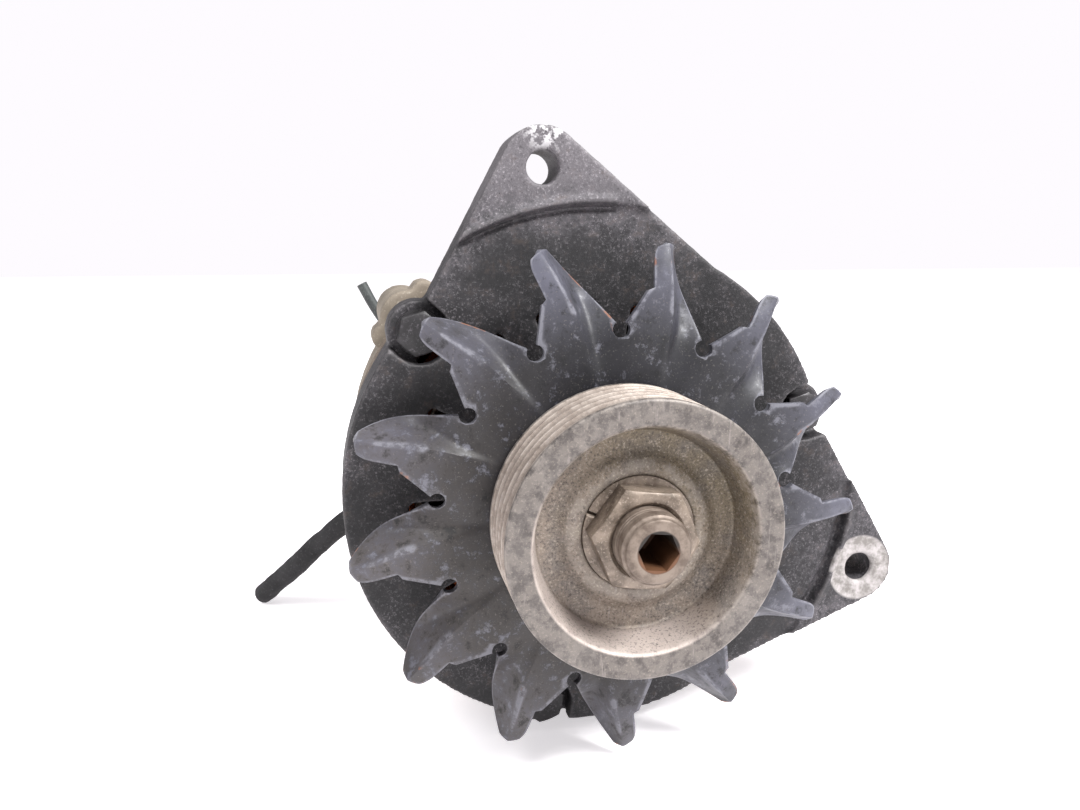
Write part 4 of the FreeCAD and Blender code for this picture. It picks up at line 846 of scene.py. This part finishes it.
# ------------------------------------------------------------------ inner and rear parts
# Everything else keeps its CAD shape and gets an aged finish of its own, matched to its material.
finishes = {
    "pulley_steel": pulley_steel,
    "fan_paint": fan_paint,
    "fastener_steel": stud_steel,
    "shaft_steel": worn_finish("ground_shaft_steel", "#9b948b", "#7c746a", "#c2bcb2", 0.38, 0.85, 0.4),
    "pole_iron": worn_finish("black_pole_iron", "#47423f", "#332f2d", "#7d6a5a", 0.55, 0.6, 0.7),
    "bearing_steel": worn_finish("bright_bearing_steel", "#b3b1ae", "#97948f", "#d6d4d0", 0.25, 0.95, 0.3),
    "cage_steel": worn_finish("zinc_cage_steel", "#a29c8c", "#847c6a", "#c7c2b4", 0.4, 0.85, 0.5),
    "front_casting": front_casting,
    "rear_casting": rear_casting,
    "lamination_steel": lamination_steel,
    "copper": worn_finish("varnished_copper", "#8f4a26", "#6d361b", "#b9703f", 0.35, 0.75, 0.5),
    "bare_copper": worn_finish("rubbed_slip_copper", "#b5714a", "#8e5433", "#d9a27b", 0.3, 0.9, 0.4),
    "moulding": worn_finish("black_phenolic_moulding", "#2a2829", "#1c1b1c", "#5e5a58", 0.55, 0.0, 0.7),
    "bush_plastic": bush_plastic,
    "carbon": worn_finish("brush_carbon", "#2b2a2c", "#1f1e20", "#4a484c", 0.5, 0.1, 0.4),
    "spring_steel": worn_finish("brush_spring_steel", "#8d8981", "#6e6960", "#b7b3aa", 0.35, 0.9, 0.3),
    "sink_aluminium": worn_finish("dull_sink_aluminium", "#a9a7a3", "#86837d", "#cfcdc8", 0.5, 0.7, 0.7),
    "diode_can": worn_finish("plated_diode_can", "#b7b0a2", "#958c7b", "#d8d3c8", 0.35, 0.85, 0.5),
    "lead_sleeve": black_sleeve,
    "tinned_copper": tinned_copper,
    "capacitor_can": worn_finish("dull_capacitor_can", "#a39f97", "#807a70", "#c9c6bf", 0.45, 0.75, 0.6),
}
for part in frame["record"]["subparts"]:
    node = frame["nodes"][part["node"]]
    if not node.data.materials or node.data.materials[0] is None:
        node.data.materials.append(finishes[part["material_slot"]])
    else:
        node.data.materials[0] = finishes[part["material_slot"]]

# ------------------------------------------------------------------ brush springs
# A coil of 0.8 mm wire stands behind each carbon brush, between it and the top of its holder.
# It is drawn 9 mm long; with the brush pushed all the way in, the spring would be 4 mm.
coil_radius, wire_radius, coil_turns, steps_in_turn = 1.7, 0.4, 5, 28
coil_bottom, coil_top, coil_pressed = 29.06, 38.06, 4.0
for node, joint, centre in (("front_brush_spring", "front_brush_slide", 84.75),
                            ("rear_brush_spring", "rear_brush_slide", 93.25)):
    bpy.ops.object.select_all(action="DESELECT")
    bpy.ops.mesh.primitive_circle_add(vertices=10, radius=wire_radius * mm)
    coil = bpy.context.object
    coil.name = node + "_coil"
    stood_up = Matrix.Rotation(math.pi / 2, 4, "X")
    coil.data.transform(Matrix.Translation((coil_radius * mm, 0, 0)) @ stood_up)
    shape(coil, "SCREW", axis="Z", angle=2 * math.pi * coil_turns, steps=steps_in_turn * coil_turns,
          screw_offset=(coil_top - coil_bottom - 2 * wire_radius) * mm, use_merge_vertices=False)
    bpy.ops.object.mode_set(mode="EDIT")
    bpy.ops.mesh.select_all(action="SELECT")
    bpy.ops.mesh.fill_holes(sides=0)
    bpy.ops.object.mode_set(mode="OBJECT")
    face_outward(coil)
    coil.data.transform(Matrix.Translation(Vector((0, centre, coil_bottom + wire_radius)) * mm))
    bpy.ops.object.shade_smooth_by_angle(angle=math.radians(50))
    fit(coil, "housing", "spring_steel", finishes["spring_steel"], node)
    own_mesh(coil)

# ------------------------------------------------------------------ broken edges
# The fittings on the rear face keep their CAD shape. Their seams are joined and their sharp
# edges are broken by 0.22 mm, with modifiers that leave the nodes themselves as they are.
for name in ("voltage_regulator", "regulator_screws", "heat_sink_screws", "charge_terminal_bush",
             "charge_terminal_stud", "charge_terminal_nut", "charge_lead_terminal",
             "lamp_terminal_bush", "lamp_terminal_stud", "lamp_terminal_nut", "lamp_lead_terminal",
             "suppression_capacitor", "capacitor_clamp", "capacitor_screw"):
    node = frame["nodes"][name]
    weld = node.modifiers.new("joined_seams", "WELD")
    weld.merge_threshold = 0.001 * mm
    bevel = node.modifiers.new("broken_edges", "BEVEL")
    bevel.width = 0.22 * mm
    bevel.segments = 2
    bevel.limit_method = "ANGLE"
    bevel.angle_limit = math.radians(40)
